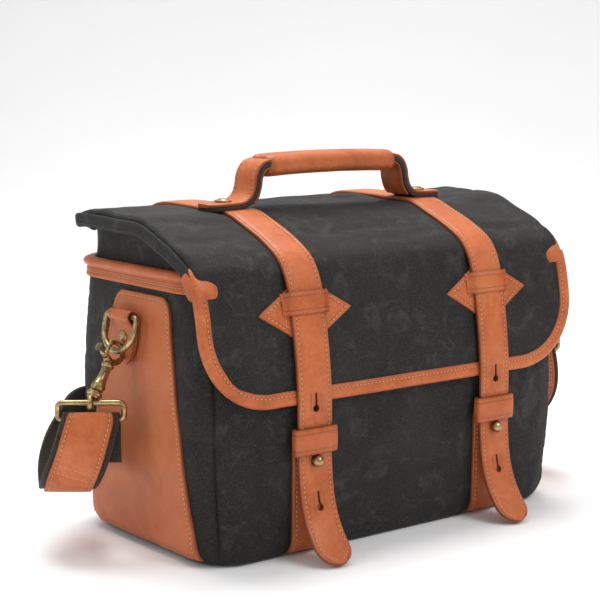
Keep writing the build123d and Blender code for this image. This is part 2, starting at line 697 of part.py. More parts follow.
UPRIGHT = (0, 0, -1)
left_side = wrap(-1) + [
    station(-(HALF_W + 43), -7.5, 84, .80, -.60, 0), station(-(HALF_W + 46.5), -3.5, 68, .80, -.60, 0),
    station(-(HALF_W + 48), 5, 54, .80, -.60, 0), station(-(HALF_W + 44.5), 16, 46, .80, -.60, 0),
    station(-(HALF_W + 39), 27, 46, .80, -.60, -.10), station(-(HALF_W + 34), 39, 52, .72, -.52, -.45),
    station(-(HALF_W + 27), 52, 60, .50, -.35, -.80), station(-(HALF_W + 16), 67, 68, .22, -.15, -.96),
    station(-(HALF_W + 2), 83, 75, .05, -.03, -1), station(-(HALF_W - 16), 94, 76, *UPRIGHT),
]
right_bar = lower_bar(1) + outward(1) * WRAP_R
right_side = wrap(1) + [
    station(right_bar.X + 3, right_bar.Y - 1, 82, .83, -.56, 0),
    station(right_bar.X + 5, right_bar.Y + 2, 67, .83, -.56, 0),
    station(right_bar.X + 4, right_bar.Y + 10, 54, .83, -.56, 0),
    station(right_bar.X + 4, right_bar.Y + 22, 47, .83, -.56, 0),
    station(HALF_W + 40, 18, 46, .86, -.40, .10), station(HALF_W + 39, 33, 48, .78, -.30, .45),
    station(HALF_W + 35, 49, 53, .50, -.20, .80), station(HALF_W + 26, 67, 58, .20, -.08, .97),
    station(HALF_W + 12, 84, 58, .05, 0, 1), station(HALF_W - 7, 99, 52, 0, 0, 1),
]
FOLD_R = 13.0
FLOOR_Z = WEB_W / 2 + 0.5
back_y = BACK_Y + 14.0


def turn(x, y, way):
    """Half turn of the strap on the floor behind the bag."""
    spots = []
    for angle in (-60, -30, 0, 30, 60):
        a = math.radians(angle)
        across, back = way * FOLD_R * math.cos(a), FOLD_R * (1 + math.sin(a))
        spots.append(station(x + across, y + back, FLOOR_Z, *UPRIGHT))
    return spots


behind = [station(-115, back_y, 66, *UPRIGHT), station(-70, back_y + 1, 44, *UPRIGHT),
          station(-20, back_y + 1, 26, *UPRIGHT), station(40, back_y, FLOOR_Z, *UPRIGHT),
          station(95, back_y, FLOOR_Z, *UPRIGHT)]
behind += turn(100, back_y, 1)
second_y = back_y + 2 * FOLD_R
behind += [station(90, second_y, FLOOR_Z, *UPRIGHT), station(0, second_y + 1, FLOOR_Z, *UPRIGHT),
           station(-75, second_y, FLOOR_Z, *UPRIGHT)]
behind += turn(-80, second_y, -1)
third_y = second_y + 2 * FOLD_R
behind += [station(-70, third_y, FLOOR_Z, *UPRIGHT), station(10, third_y + 1, FLOOR_Z + 2, *UPRIGHT),
           station(80, third_y - 8, 30, *UPRIGHT), station(125, third_y - 24, 42, *UPRIGHT)]
route = left_side + behind + [(spot, -width) for spot, width in reversed(right_side)]


def strip(stations, width, low, high):
    """A flat strap through stations, between two offsets from its middle."""
    faces = []
    for i, (spot, across) in enumerate(stations):
        before = stations[max(i - 1, 0)][0]
        after = stations[min(i + 1, len(stations) - 1)][0]
        along = (after - before).normalized()
        across = (across - along * across.dot(along)).normalized()
        out = along.cross(across)
        plane = Plane(origin=spot + out * ((low + high) / 2), x_dir=across, z_dir=along)
        faces.append(plane * Rectangle(width, high - low))
    return loft(faces, ruled=True)


webbing = strip(route, WEB_W, -WEB_T / 2, WEB_T / 2)
save(webbing, "shoulder_webbing")
length = sum((b[0] - a[0]).length for a, b in zip(route, route[1:]))
print("webbing length", round(length), "volume share", webbing.volume / (length * WEB_W * WEB_T))
face_low = WEB_T / 2 + OVERLAY_GAP
save(strip(left_side[6:16], OVERLAY_W, face_low, face_low + OVERLAY_T), "strap_leather_left")
right_overlay = [(spot, -width) for spot, width in reversed(right_side[6:15])]
save(strip(right_overlay, OVERLAY_W, face_low, face_low + OVERLAY_T), "strap_leather_right")
for side in SIDES:
    frame = hook_frame(side)
    pivot = frame.from_local_coords(gate_pivot(side))
    print(SIDES[side], "bowl", frame.origin, "down", HOOK_DIR[side], "pivot", pivot,
          "y", frame.y_dir, "bar x", BAR_X)
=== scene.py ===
import math

import bmesh
import bpy
import numpy as np
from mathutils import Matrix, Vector, noise


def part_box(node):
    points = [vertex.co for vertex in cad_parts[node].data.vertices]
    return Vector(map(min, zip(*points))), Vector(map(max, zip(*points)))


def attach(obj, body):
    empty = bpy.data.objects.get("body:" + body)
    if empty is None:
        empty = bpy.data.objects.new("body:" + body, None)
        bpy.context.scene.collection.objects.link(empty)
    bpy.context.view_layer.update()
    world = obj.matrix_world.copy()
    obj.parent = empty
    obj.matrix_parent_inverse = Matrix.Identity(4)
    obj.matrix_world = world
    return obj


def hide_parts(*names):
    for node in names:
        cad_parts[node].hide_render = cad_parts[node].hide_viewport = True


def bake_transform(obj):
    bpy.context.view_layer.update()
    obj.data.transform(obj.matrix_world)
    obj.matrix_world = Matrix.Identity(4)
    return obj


# Camera bag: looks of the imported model. X runs along the bag, the front faces -Y, the floor is at z 0.
# Shapes are worked out in millimetres and written in metres. Each make() call adds one piece.
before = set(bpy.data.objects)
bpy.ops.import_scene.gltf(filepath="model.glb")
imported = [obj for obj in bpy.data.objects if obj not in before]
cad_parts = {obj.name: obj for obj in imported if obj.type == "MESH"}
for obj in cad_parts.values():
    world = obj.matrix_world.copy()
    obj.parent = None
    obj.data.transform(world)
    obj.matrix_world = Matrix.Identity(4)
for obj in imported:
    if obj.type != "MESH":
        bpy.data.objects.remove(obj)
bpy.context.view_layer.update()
MM = 0.001
SIDES = {-1: "left", 1: "right"}
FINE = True

# ------------------------------------------------------------------ sizes in mm

HALF_W, FRONT_Y, BACK_Y, RIM_Z = 161.0, -86.0, 86.0, 192.0
BASE_Z, BASE_TOP = 0.9, 17.3     # the canvas sags nearly to the floor between the straps
CORNER_R = 28.0
ROWS = [  # height, then how far side, front and back pull in
    (BASE_TOP, 3.0, 1.0, 3.0), (69.1, 0, 0, 0), (109.4, 0, 0, 0),
    (149.8, 2.0, 4.0, 1.0), (RIM_Z, 5.0, 20.0, 3.0),
]
STRAP_W, STRAP_T, STRAP_X = 28.0, 3.0, 81.5
STRAP_SEAM = 3.1         # stitch line, in from a strap's edge
STUD_Z, SPARE_HOLES = 67.0, (102.0, 36.0)
LOWER_TOP = 88.0
TOP_PATH = [  # outer face of the strap over the lid, from the hinge to the fold: y, z
    (90.0, 208.0), (88.3, 215.0), (83.0, 222.5), (70.0, 227.0), (30.0, 227.6), (14.0, 227.0),
    (-14.0, 226.0), (-35.0, 219.0), (-57.0, 210.0), (-73.0, 200.5), (-80.5, 191.0),
]
FRONT_PATH = [(-85.2, 179.0), (-90.0, 155.0), (-93.2, 130.0), (-94.6, 110.0), (-94.8, 100.0)]
TAIL_PATH = [
    (-85.2, 179.0), (-90.0, 155.0), (-93.2, 130.0), (-94.6, 110.0), (-95.2, 60.0),
    (-99.5, 36.0), (-109.0, 18.0), (-124.0, 3.4),
]
FLAP_HALF, FLAP_LOW, FLAP_R, BINDING = 166.0, 105.0, 52.0, 10.0
RING_Y, RING_Z, BAR_X = 4.0, 160.0, 167.379
RING_WIRE, CLAW_R = 2.0, 6.8
RING_TILT = {-1: 15.0, 1: 30.0}
WEB_W, WEB_T, OVERLAY_W = 38.0, 2.4, 31.0
PITCH, STITCH = 3.3, 2.45        # stitch to stitch, and the thread that shows


# ------------------------------------------------------------------ small maths

def unit(v):
    return v / np.maximum(np.linalg.norm(v, axis=-1, keepdims=True), 1e-9)


def ease(x, a, b):
    """0 before a, 1 after b, smooth between."""
    t = np.clip((np.asarray(x, float) - a) / (b - a), 0, 1)
    return t * t * (3 - 2 * t)


def lengths(line):
    """Distance of each point along a polyline."""
    return np.r_[0, np.cumsum(np.linalg.norm(np.diff(line, axis=0), axis=1))]


def resample(line, step):
    """Evenly spaced points on a polyline, and their distance along it."""
    d = lengths(line[:, :3])
    s = np.linspace(0, d[-1], max(3, int(round(d[-1] / step)) + 1))
    return np.stack([np.interp(s, d, line[:, k]) for k in range(line.shape[1])], 1), s


def curve(points, step=2.0):
    """A smooth line through the points, evenly resampled."""
    p = np.array(points, float)
    q = np.concatenate([[2 * p[0] - p[1]], p, [2 * p[-1] - p[-2]]])
    out = []
    for i in range(len(p) - 1):
        a, b, c, d = q[i:i + 4]
        k = [max(np.linalg.norm((v - u)[:3]), 1e-3) ** 0.5 for u, v in ((a, b), (b, c), (c, d))]
        t0, t1 = 0.0, k[0]
        t2, t3 = t1 + k[1], t1 + k[1] + k[2]
        t = np.linspace(t1, t2, 20, endpoint=False)[:, None]
        ab = ((t1 - t) * a + (t - t0) * b) / (t1 - t0)
        bc = ((t2 - t) * b + (t - t1) * c) / (t2 - t1)
        cd = ((t3 - t) * c + (t - t2) * d) / (t3 - t2)
        abc = ((t2 - t) * ab + (t - t0) * bc) / (t2 - t0)
        bcd = ((t3 - t) * bc + (t - t1) * cd) / (t3 - t1)
        out.append(((t2 - t) * abc + (t - t1) * bcd) / (t2 - t1))
    out.append(p[-1:])
    return resample(np.concatenate(out), step)


def tangents(line, closed=False):
    if closed:
        return unit(np.roll(line, -1, 0) - np.roll(line, 1, 0))
    return unit(np.gradient(line, axis=0))


def wobble(points, size, seed):
    """Smooth noise, about -1 to 1, of a feature size in mm."""
    flat = np.asarray(points, float).reshape(-1, 3) / size + seed
    return np.array([noise.noise(Vector(p)) for p in flat]).reshape(np.asarray(points).shape[:-1])


def ripple(s, size, seed):
    """Smooth noise along a length."""
    return wobble(np.column_stack([s, s * 0, s * 0]), size, seed)


# ------------------------------------------------------------------ mesh building

class Build:
    """Collects vertices, faces, UVs in metres and the distance to the edge, then makes one piece."""

    def __init__(self):
        self.v, self.f, self.uv, self.edge, self.m = [], [], [], [], []
        self.n = 0

    def add(self, verts, faces, uv=None, edge=None, mat=0):
        verts = np.asarray(verts, float).reshape(-1, 3)
        count = len(verts)
        self.v.append(verts)
        self.uv.append(np.zeros((count, 2)) if uv is None else np.asarray(uv, float).reshape(-1, 2))
        self.edge.append(np.full(count, 9.0) if edge is None else np.asarray(edge, float).reshape(-1))
        self.f += [tuple(i + self.n for i in f) for f in faces]
        self.m += [mat] * len(faces)
        self.n += count

    def grid(self, pts, uv=None, edge=None, wrap_v=False, wrap_u=False, caps=False):
        nu, nv = pts.shape[:2]
        faces = []
        for i in range(nu if wrap_u else nu - 1):
            for j in range(nv if wrap_v else nv - 1):
                a, b = i * nv + j, i * nv + (j + 1) % nv
                c, d = ((i + 1) % nu) * nv + (j + 1) % nv, ((i + 1) % nu) * nv + j
                faces.append((a, b, c, d))
        if caps:
            faces += [tuple(range(nv - 1, -1, -1)), tuple(range((nu - 1) * nv, nu * nv))]
        self.add(pts, faces, uv, edge)

    def make(self, name, body, mats, sub=0, merge=0.0, sharp=38.0, blend=None, replaces=(), cut=None):
        """One piece on a body and the nodes it stands for; cut is a mesh taken out of it."""
        verts = np.concatenate(self.v) * MM
        mesh = bpy.data.meshes.new(name)
        mesh.from_pydata(verts.tolist(), [], self.f)
        for mat in mats:
            mesh.materials.append(mat)
        mesh.polygons.foreach_set("material_index", self.m)
        loops = np.zeros(len(mesh.loops), int)
        mesh.loops.foreach_get("vertex_index", loops)
        layer = mesh.uv_layers.new(name="UVMap")
        layer.data.foreach_set("uv", np.concatenate(self.uv)[loops].ravel() * MM)
        attribute = mesh.attributes.new("edge", "FLOAT", "POINT")
        attribute.data.foreach_set("value", np.concatenate(self.edge).astype(np.float32))
        bm = bmesh.new()
        bm.from_mesh(mesh)
        if merge:
            bmesh.ops.remove_doubles(bm, verts=bm.verts, dist=merge * MM)
        bmesh.ops.dissolve_degenerate(bm, edges=bm.edges, dist=1e-7)
        bmesh.ops.recalc_face_normals(bm, faces=bm.faces)
        soften(bm, sharp)
        bm.to_mesh(mesh)
        bm.free()
        obj = bpy.data.objects.new(name, mesh)
        bpy.context.scene.collection.objects.link(obj)
        if cut is not None:
            carve(obj, cut, sharp)
        if sub:
            m = obj.modifiers.new("smooth", "SUBSURF")
            m.levels = m.render_levels = sub
        if blend:
            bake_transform(obj)
        else:
            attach(obj, body)
        if replaces:
            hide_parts(*replaces)
        return obj


def soften(bm, sharp):
    """Smooth shading, with edges sharper than an angle left crisp."""
    limit = math.radians(sharp)
    for f in bm.faces:
        f.smooth = True
    for e in bm.edges:
        e.smooth = len(e.link_faces) != 2 or e.calc_face_angle(0.0) < limit


def carve(obj, cut, sharp):
    """Takes a closed mesh out of a piece."""
    other = bpy.data.objects.new(obj.name + "_cut", cut)
    bpy.context.scene.collection.objects.link(other)
    m = obj.modifiers.new("cut", "BOOLEAN")
    m.object, m.operation, m.solver = other, "DIFFERENCE", "EXACT"
    bpy.context.view_layer.update()
    done = bpy.data.meshes.new_from_object(obj.evaluated_get(bpy.context.evaluated_depsgraph_get()))
    obj.modifiers.clear()
    obj.data = done
    bpy.data.objects.remove(other)
    bm = bmesh.new()
    bm.from_mesh(done)
    soften(bm, sharp)
    bm.to_mesh(done)
    bm.free()


def plain_mesh(parts):
    """One bare mesh from (vertices in mm, faces) parts."""
    verts, faces, n = [], [], 0
    for v, f in parts:
        verts.append(np.asarray(v, float))
        faces += [tuple(i + n for i in q) for q in f]
        n += len(v)
    mesh = bpy.data.meshes.new("cutter")
    mesh.from_pydata((np.concatenate(verts) * MM).tolist(), [], faces)
    bm = bmesh.new()
    bm.from_mesh(mesh)
    bmesh.ops.recalc_face_normals(bm, faces=bm.faces)
    bm.to_mesh(mesh)
    bm.free()
    return mesh


def sheet_uv(u, v):
    """UVs of a grid from a value for each row and one for each column."""
    return np.stack(np.meshgrid(u, v, indexing="ij"), -1)


def sweep(b, line, across, normal, section, widths=None, edge_of=None, along=None):
    """A closed section of (across, height) points carried along a line."""
    sec = np.array(section, float)
    n, m = len(line), len(sec)
    scale = np.ones(n) if widths is None else np.asarray(widths, float)
    w = sec[None, :, 0] * scale[:, None]
    pts = line[:, None] + across[:, None] * w[..., None] + normal[:, None] * sec[None, :, 1, None]
    s = lengths(line) if along is None else along
    half = abs(sec[:, 0]).max()
    edge = (half - abs(sec[:, 0])) if edge_of is None else np.asarray(edge_of, float)
    edge = np.broadcast_to(edge[None], (n, m)).copy()
    b.grid(pts, sheet_uv(s, sec[:, 0]), edge, wrap_v=True, caps=True)


def band_section(width, thick, groove, crown, top=0.0):
    """Leather strap section: soft edges, a pressed stitch line near each edge."""
    h, t = width / 2, thick
    side = [(-h, -0.5 * t), (-h + 0.12, -0.25 * t), (-h + 0.5, -0.07 * t), (-h + 1.1, 0.0)]
    if groove:
        side += [(-h + groove - 0.75, 0.03), (-h + groove - 0.3, -0.2), (-h + groove, -0.34),
                 (-h + groove + 0.3, -0.2), (-h + groove + 0.8, 0.05)]
    side += [(-h * 0.55, crown * 0.7)]
    upper = side + [(0, crown)] + [(-x, y) for x, y in reversed(side)]
    lower = [(h - 0.12, -0.75 * t), (h - 0.5, -0.93 * t), (h - 1.1, -t), (0, -t),
             (-h + 1.1, -t), (-h + 0.5, -0.93 * t), (-h + 0.12, -0.75 * t)]
    return [(x, y + top) for x, y in upper + lower]


def stitches(b, line, normal, radius=0.42):
    """Thread along a line on a surface: each stitch dips into the leather at both ends."""
    d = lengths(line)
    count = int(d[-1] // PITCH)
    if count < 1:
        return
    mids = (d[-1] - count * PITCH + PITCH) / 2 + PITCH * np.arange(count)
    mids = mids[mids < d[-1] - 0.3 * STITCH]
    ts = np.array([-0.5, -0.42, -0.2, 0.2, 0.42, 0.5]) * STITCH
    rs = np.array([0.35, 0.8, 1.0, 1.0, 0.8, 0.35]) * radius
    hs = np.array([-0.50, -0.10, 0.14, 0.14, -0.10, -0.50])
    ang = np.linspace(0, 2 * math.pi, 6, endpoint=False)
    faces = [(i * 6 + j, i * 6 + (j + 1) % 6, (i + 1) * 6 + (j + 1) % 6, (i + 1) * 6 + j)
             for i in range(5) for j in range(6)]
    faces += [tuple(range(5, -1, -1)), tuple(range(30, 36))]

    def at(values, s):
        return np.stack([np.interp(s, d, values[:, k]) for k in range(3)], 1)

    verts, all_faces = [], []
    for k, mid in enumerate(mids):
        here, up = at(line, mid + ts), unit(at(normal, mid + ts))
        along = unit(here[-1] - here[0])
        cross = unit(np.cross(up, along[None]))
        here = here + up * hs[:, None]
        ring = cross[:, None] * np.cos(ang)[None, :, None] + up[:, None] * np.sin(ang)[None, :, None]
        verts.append((here[:, None] + ring * rs[:, None, None]).reshape(-1, 3))
        all_faces += [tuple(i + 36 * k for i in f) for f in faces]
    b.add(np.concatenate(verts), all_faces, mat=1)


ASKEW = np.array([0.31, 0.42, 0.85])     # a direction that no wire or axis here follows


def tube(b, line, radius, sides=14, closed=False):
    """A round wire along a line; radius is one number or one for each point."""
    line = np.asarray(line, float)
    t = tangents(line, closed)
    r = np.broadcast_to(np.asarray(radius, float), (len(line),))
    a = unit(np.cross(t[0], ASKEW))
    frames = []
    for k in range(len(line)):
        a = unit(a - t[k] * np.dot(a, t[k]))
        frames.append((a, np.cross(t[k], a)))
    ang = np.linspace(0, 2 * math.pi, sides, endpoint=False)
    pts = np.array([line[k] + r[k] * (np.cos(ang)[:, None] * f[0] + np.sin(ang)[:, None] * f[1])
                    for k, f in enumerate(frames)])
    if closed:
        # the frame drifts round a closed line, so its turn is shared out over the loop
        a0, b0 = frames[0]
        last = unit(frames[-1][0] - t[0] * np.dot(frames[-1][0], t[0]))
        drift = math.atan2(np.dot(last, b0), np.dot(last, a0))
        out = []
        for k, (fa, fb) in enumerate(frames):
            turn = ang - drift * k / (len(line) - 1)
            out.append(line[k] + r[k] * (np.cos(turn)[:, None] * fa + np.sin(turn)[:, None] * fb))
        pts = np.array(out)
    b.grid(pts, sheet_uv(lengths(line), ang * r.mean()), wrap_v=True, wrap_u=closed, caps=not closed)


def lathe(b, origin, axis, profile, sides=36):
    """A turned shape: (distance along the axis, radius) points, closed at both ends."""
    axis = unit(np.array(axis, float))
    a = unit(np.cross(axis, ASKEW))
    c = np.cross(axis, a)
    ang = np.linspace(0, 2 * math.pi, sides, endpoint=False)
    ring = np.cos(ang)[:, None] * a + np.sin(ang)[:, None] * c
    pts = np.array([np.array(origin) + axis * z + ring * r for z, r in profile])
    b.grid(pts, wrap_v=True, caps=True)


# ------------------------------------------------------------------ materials

def material(name):
    mat = bpy.data.materials.new(name)
    mat.use_nodes = True
    tree = mat.node_tree
    tree.nodes.clear()
    out = tree.nodes.new("ShaderNodeOutputMaterial")
    shader = tree.nodes.new("ShaderNodeBsdfPrincipled")
    tree.links.new(shader.outputs[0], out.inputs[0])
    return mat, tree, shader


def node(tree, kind, **values):
    """A node with its inputs set; a value that is a socket is linked."""
    n = tree.nodes.new("ShaderNode" + kind)
    for key, value in values.items():
        if key == "attribute_name":
            n.attribute_name = value
            continue
        socket = n.inputs[key.replace("_", " ")]
        if isinstance(value, bpy.types.NodeSocket):
            tree.links.new(value, socket)
        else:
            socket.default_value = value
    return n


def math_node(tree, operation, a, b=0.5, clamp=False):
    n = tree.nodes.new("ShaderNodeMath")
    n.operation, n.use_clamp = operation, clamp
    for socket, value in zip(n.inputs, (a, b)):
        if isinstance(value, bpy.types.NodeSocket):
            tree.links.new(value, socket)
        else:
            socket.default_value = value
    return n.outputs[0]


def ramp(tree, value, stops):
    n = tree.nodes.new("ShaderNodeValToRGB")
    tree.links.new(value, n.inputs[0])
    marks = n.color_ramp.elements
    while len(marks) < len(stops):
        marks.new(0.5)
    for mark, (place, colour) in zip(marks, stops):
        mark.position = place
        c = colour if hasattr(colour, "__len__") else (colour,) * 3
        mark.color = (*c, 1)
    return n.outputs[0]


def mix(tree, factor, a, b, blend="MIX"):
    n = tree.nodes.new("ShaderNodeMix")
    n.data_type, n.blend_type = "RGBA", blend
    for socket, value in zip((n.inputs[0], n.inputs[6], n.inputs[7]), (factor, a, b)):
        if isinstance(value, bpy.types.NodeSocket):
            tree.links.new(value, socket)
        else:
            socket.default_value = (*value, 1) if hasattr(value, "__len__") else value
    return n.outputs[2]


def noise_at(tree, vector, scale, detail=3.0, rough=0.5, distortion=0.0):
    return node(tree, "TexNoise", Vector=vector, Scale=scale, Detail=detail, Roughness=rough,
                Distortion=distortion).outputs[0]


def bump(tree, height, strength, distance, below=None):
    n = node(tree, "Bump", Height=height, Strength=strength, Distance=distance)
    if below is not None:
        tree.links.new(below, n.inputs["Normal"])
    return n.outputs[0]


def weave_height(tree, uv, pitch):
    """Threads over and under: two crossed waves."""
    parts = node(tree, "SeparateXYZ", Vector=uv)
    waves = []
    for k in (0, 1):
        turn = math_node(tree, "MULTIPLY", parts.outputs[k], 2 * math.pi / pitch)
        waves.append(math_node(tree, "SINE", turn))
    both = math_node(tree, "MULTIPLY", waves[0], waves[1])
    thick = math_node(tree, "ADD", math_node(tree, "ABSOLUTE", waves[0]),
                      math_node(tree, "ABSOLUTE", waves[1]))
    return math_node(tree, "ADD", math_node(tree, "MULTIPLY", both, 0.5),
                     math_node(tree, "MULTIPLY", thick, 0.5))


def canvas_material(name, dark, light, fleck, pitch=0.00085, scuff=1.0):
    """Waxed canvas: cloudy dark cloth, rubbed pale in places, with flecks and a fine weave whose low parts
    carry painted shade and whose raised threads carry a painted highlight.
    """
    mat, tree, shader = material(name)
    coords = node(tree, "TexCoord")
    uv, obj = coords.outputs["UV"], coords.outputs["Object"]
    cloud = noise_at(tree, obj, 22.0, 5.0, 0.62, 0.6)
    patches = ramp(tree, cloud, [(0.36, dark), (0.68, light)])
    scuffs = ramp(tree, noise_at(tree, obj, 60.0, 6.0, 0.7, 1.2), [(0.52, 0.0), (0.72, 1.0)])
    worn = mix(tree, math_node(tree, "MULTIPLY", scuffs, 0.55 * scuff), patches, fleck)
    grain = ramp(tree, noise_at(tree, obj, 1500.0, 2.0, 0.6), [(0.50, 0.0), (0.70, 1.0)])
    flecks = mix(tree, math_node(tree, "MULTIPLY", grain, 0.55), worn, fleck)
    weave = weave_height(tree, uv, pitch)
    # painted shade between the threads and painted highlight on the raised threads, taken from the weave's
    # height
    painted_weave_shade_and_highlight = ramp(tree, weave, [(0.0, 0.55), (0.8, 1.1)])
    tree.links.new(mix(tree, 1.0, flecks, painted_weave_shade_and_highlight, "MULTIPLY"), shader.inputs["Base Color"])
    rough = ramp(tree, cloud, [(0.3, 0.62), (0.75, 0.82)])
    tree.links.new(rough, shader.inputs["Roughness"])
    shader.inputs["Sheen Weight"].default_value = 0.03
    shader.inputs["Sheen Roughness"].default_value = 0.4
    shader.inputs["Specular IOR Level"].default_value = 0.22
    low = bump(tree, noise_at(tree, obj, 90.0, 4.0, 0.6, 0.5), 0.35, 0.0012)
    tree.links.new(bump(tree, weave, 0.6, 0.00025, bump(tree, grain, 0.25, 0.0002, low)),
                   shader.inputs["Normal"])
    return mat


def leather_material(name, deep, tan, pale, edge_dye_and_groove_shade_colour, rough=0.42):
    """Vegetable-tanned leather: cloudy tan, fine pores, burnished near its edges, with painted shade along
    its stitch grooves and under rolled edges.
    """
    mat, tree, shader = material(name)
    coords = node(tree, "TexCoord")
    obj = coords.outputs["Object"]
    cloud = noise_at(tree, obj, 26.0, 5.0, 0.6, 0.8)
    base = ramp(tree, cloud, [(0.33, deep), (0.5, tan), (0.72, pale)])
    streaks = noise_at(tree, obj, 170.0, 4.0, 0.65, 1.5)
    base = mix(tree, 0.35, base, ramp(tree, streaks, [(0.3, deep), (0.7, pale)]), "MIX")
    pores = node(tree, "TexVoronoi", Vector=obj, Scale=950.0)
    pore = ramp(tree, pores.outputs["Distance"], [(0.0, 0.78), (0.35, 1.0)])
    base = mix(tree, 1.0, base, pore, "MULTIPLY")
    near = node(tree, "Attribute", attribute_name="edge").outputs["Fac"]
    fade = math_node(tree, "DIVIDE", near, 8.0, True)
    # dark at the cut edges, which is edge dye; the dip about 3 mm in is painted shade in the stitch grooves
    # and wherever a point is given that distance
    rim = ramp(tree, fade, [(0.0, 0.25), (0.05, 0.6), (0.16, 0.92), (0.31, 0.90), (0.37, 0.50),
                            (0.40, 0.50), (0.46, 0.95), (0.9, 1.0)])
    dyed_edges_and_painted_groove_shade = mix(tree, rim, edge_dye_and_groove_shade_colour, base)
    tree.links.new(dyed_edges_and_painted_groove_shade, shader.inputs["Base Color"])
    gloss = ramp(tree, streaks, [(0.3, rough - 0.08), (0.75, rough + 0.14)])
    tree.links.new(gloss, shader.inputs["Roughness"])
    shader.inputs["Specular IOR Level"].default_value = 0.28
    shader.inputs["Coat Weight"].default_value = 0.03
    shader.inputs["Coat Roughness"].default_value = 0.35
    creases = node(tree, "TexVoronoi", Vector=obj, Scale=520.0)
    low = bump(tree, streaks, 0.25, 0.0006)
    mid = bump(tree, creases.outputs["Distance"], 0.18, 0.00035, low)
    tree.links.new(bump(tree, pores.outputs["Distance"], 0.3, 0.00012, mid), shader.inputs["Normal"])
    return mat


def thread_material(name, dark, light):
    mat, tree, shader = material(name)
    obj = node(tree, "TexCoord").outputs["Object"]
    fibres = noise_at(tree, obj, 2600.0, 2.0, 0.6)
    tree.links.new(ramp(tree, fibres, [(0.35, dark), (0.65, light)]), shader.inputs["Base Color"])
    shader.inputs["Roughness"].default_value = 0.62
    tree.links.new(bump(tree, fibres, 0.5, 0.0001), shader.inputs["Normal"])
    return mat


def metal_material(name, bright, dark, rough):
    """Antique brass, dark in the hollows and bright where it rubs; here dark and bright lie in random
    patches.
    """
    mat, tree, shader = material(name)
    obj = node(tree, "TexCoord").outputs["Object"]
    cloud = noise_at(tree, obj, 240.0, 5.0, 0.65, 0.6)
    tree.links.new(ramp(tree, cloud, [(0.34, dark), (0.62, bright)]), shader.inputs["Base Color"])
    tree.links.new(ramp(tree, cloud, [(0.3, rough + 0.16), (0.7, rough)]), shader.inputs["Roughness"])
    shader.inputs["Metallic"].default_value = 1.0
    tree.links.new(bump(tree, noise_at(tree, obj, 900.0, 3.0), 0.12, 0.0002), shader.inputs["Normal"])
    return mat


def webbing_material(name, dark, light):
    """Coarse flat webbing with ribs across and a fine diagonal thread; its colour carries painted shade in
    the weave's low parts and a painted highlight on its raised threads.
    """
    mat, tree, shader = material(name)
    coords = node(tree, "TexCoord")
    uv, obj = coords.outputs["UV"], coords.outputs["Object"]
    height = weave_height(tree, uv, 0.0021)
    shade = noise_at(tree, obj, 700.0, 3.0, 0.6)
    # painted shade in the low parts of the weave and painted highlight on the raised threads
    colour = mix(tree, ramp(tree, height, [(0.1, 0.0), (0.9, 1.0)]), dark, light)
    tree.links.new(mix(tree, 1.0, colour, ramp(tree, shade, [(0.3, 0.7), (0.7, 1.15)]), "MULTIPLY"),
                   shader.inputs["Base Color"])
    shader.inputs["Roughness"].default_value = 0.82
    shader.inputs["Sheen Weight"].default_value = 0.1
    tree.links.new(bump(tree, height, 0.8, 0.0006, bump(tree, shade, 0.3, 0.0003)),
                   shader.inputs["Normal"])
    return mat


def core_material(name):
    """Black rubbery filler seen on the cut edges of the handle."""
    mat, tree, shader = material(name)
    obj = node(tree, "TexCoord").outputs["Object"]
    speck = noise_at(tree, obj, 900.0, 4.0, 0.7)
    tree.links.new(ramp(tree, speck, [(0.3, (0.012, 0.010, 0.009)), (0.7, (0.035, 0.028, 0.024))]),
                   shader.inputs["Base Color"])
    shader.inputs["Roughness"].default_value = 0.75
    tree.links.new(bump(tree, speck, 0.5, 0.0006), shader.inputs["Normal"])
    return mat


CANVAS = canvas_material("waxed_canvas", (0.0095, 0.0090, 0.0086), (0.022, 0.0208, 0.0200),
                         (0.085, 0.079, 0.075))
# the last colour of each leather is the edge dye at cut edges and the painted shade in stitch grooves
LEATHER = leather_material("tan_leather", (0.36, 0.076, 0.018), (0.495, 0.120, 0.032),
                           (0.61, 0.185, 0.068), (0.13, 0.034, 0.012))
PANEL_LEATHER = leather_material("panel_leather", (0.37, 0.090, 0.026), (0.455, 0.122, 0.040),
                                 (0.54, 0.165, 0.064), (0.17, 0.048, 0.018), 0.5)
THREAD = thread_material("stitch_thread", (0.46, 0.16, 0.06), (0.78, 0.37, 0.18))
DARK_THREAD = thread_material("canvas_thread", (0.02, 0.019, 0.018), (0.07, 0.066, 0.062))
# webbing: dark in the weave's low parts as painted shade, light on its raised threads as painted highlight
WEB = webbing_material("dark_webbing", (0.012, 0.008, 0.006), (0.050, 0.034, 0.026))
BRASS = metal_material("antique_brass", (0.56, 0.40, 0.19), (0.15, 0.10, 0.05), 0.26)
LINING = canvas_material("grey_lining", (0.10, 0.10, 0.102), (0.15, 0.15, 0.152), (0.24, 0.24, 0.245),
                         0.0012, 0.4)
CORE = core_material("handle_core_black")

# ------------------------------------------------------------------ body form

Z_FINE = np.arange(BASE_Z, RIM_Z + 0.01, 0.5)


def inset_table(column, base):
    """One inset at every half millimetre of height: eased rows, with a round base."""
    rows = np.array(ROWS, float)
    flat = np.interp(Z_FINE, rows[:, 0], rows[:, column])
    pad = np.pad(flat, 12, mode="edge")
    flat = np.convolve(pad, np.ones(25) / 25, mode="valid")
    t = np.clip((BASE_TOP - Z_FINE) / (BASE_TOP - BASE_Z), 0, 1)
    round_in = 1 - np.sqrt(np.clip(1 - t * t, 0, 1))
    return flat + (base - rows[0, column]) * round_in


INSET = [inset_table(1, 11.0), inset_table(2, 7.5), inset_table(3, 15.0)]


def insets(z):
    return [np.interp(z, Z_FINE, table) for table in INSET]


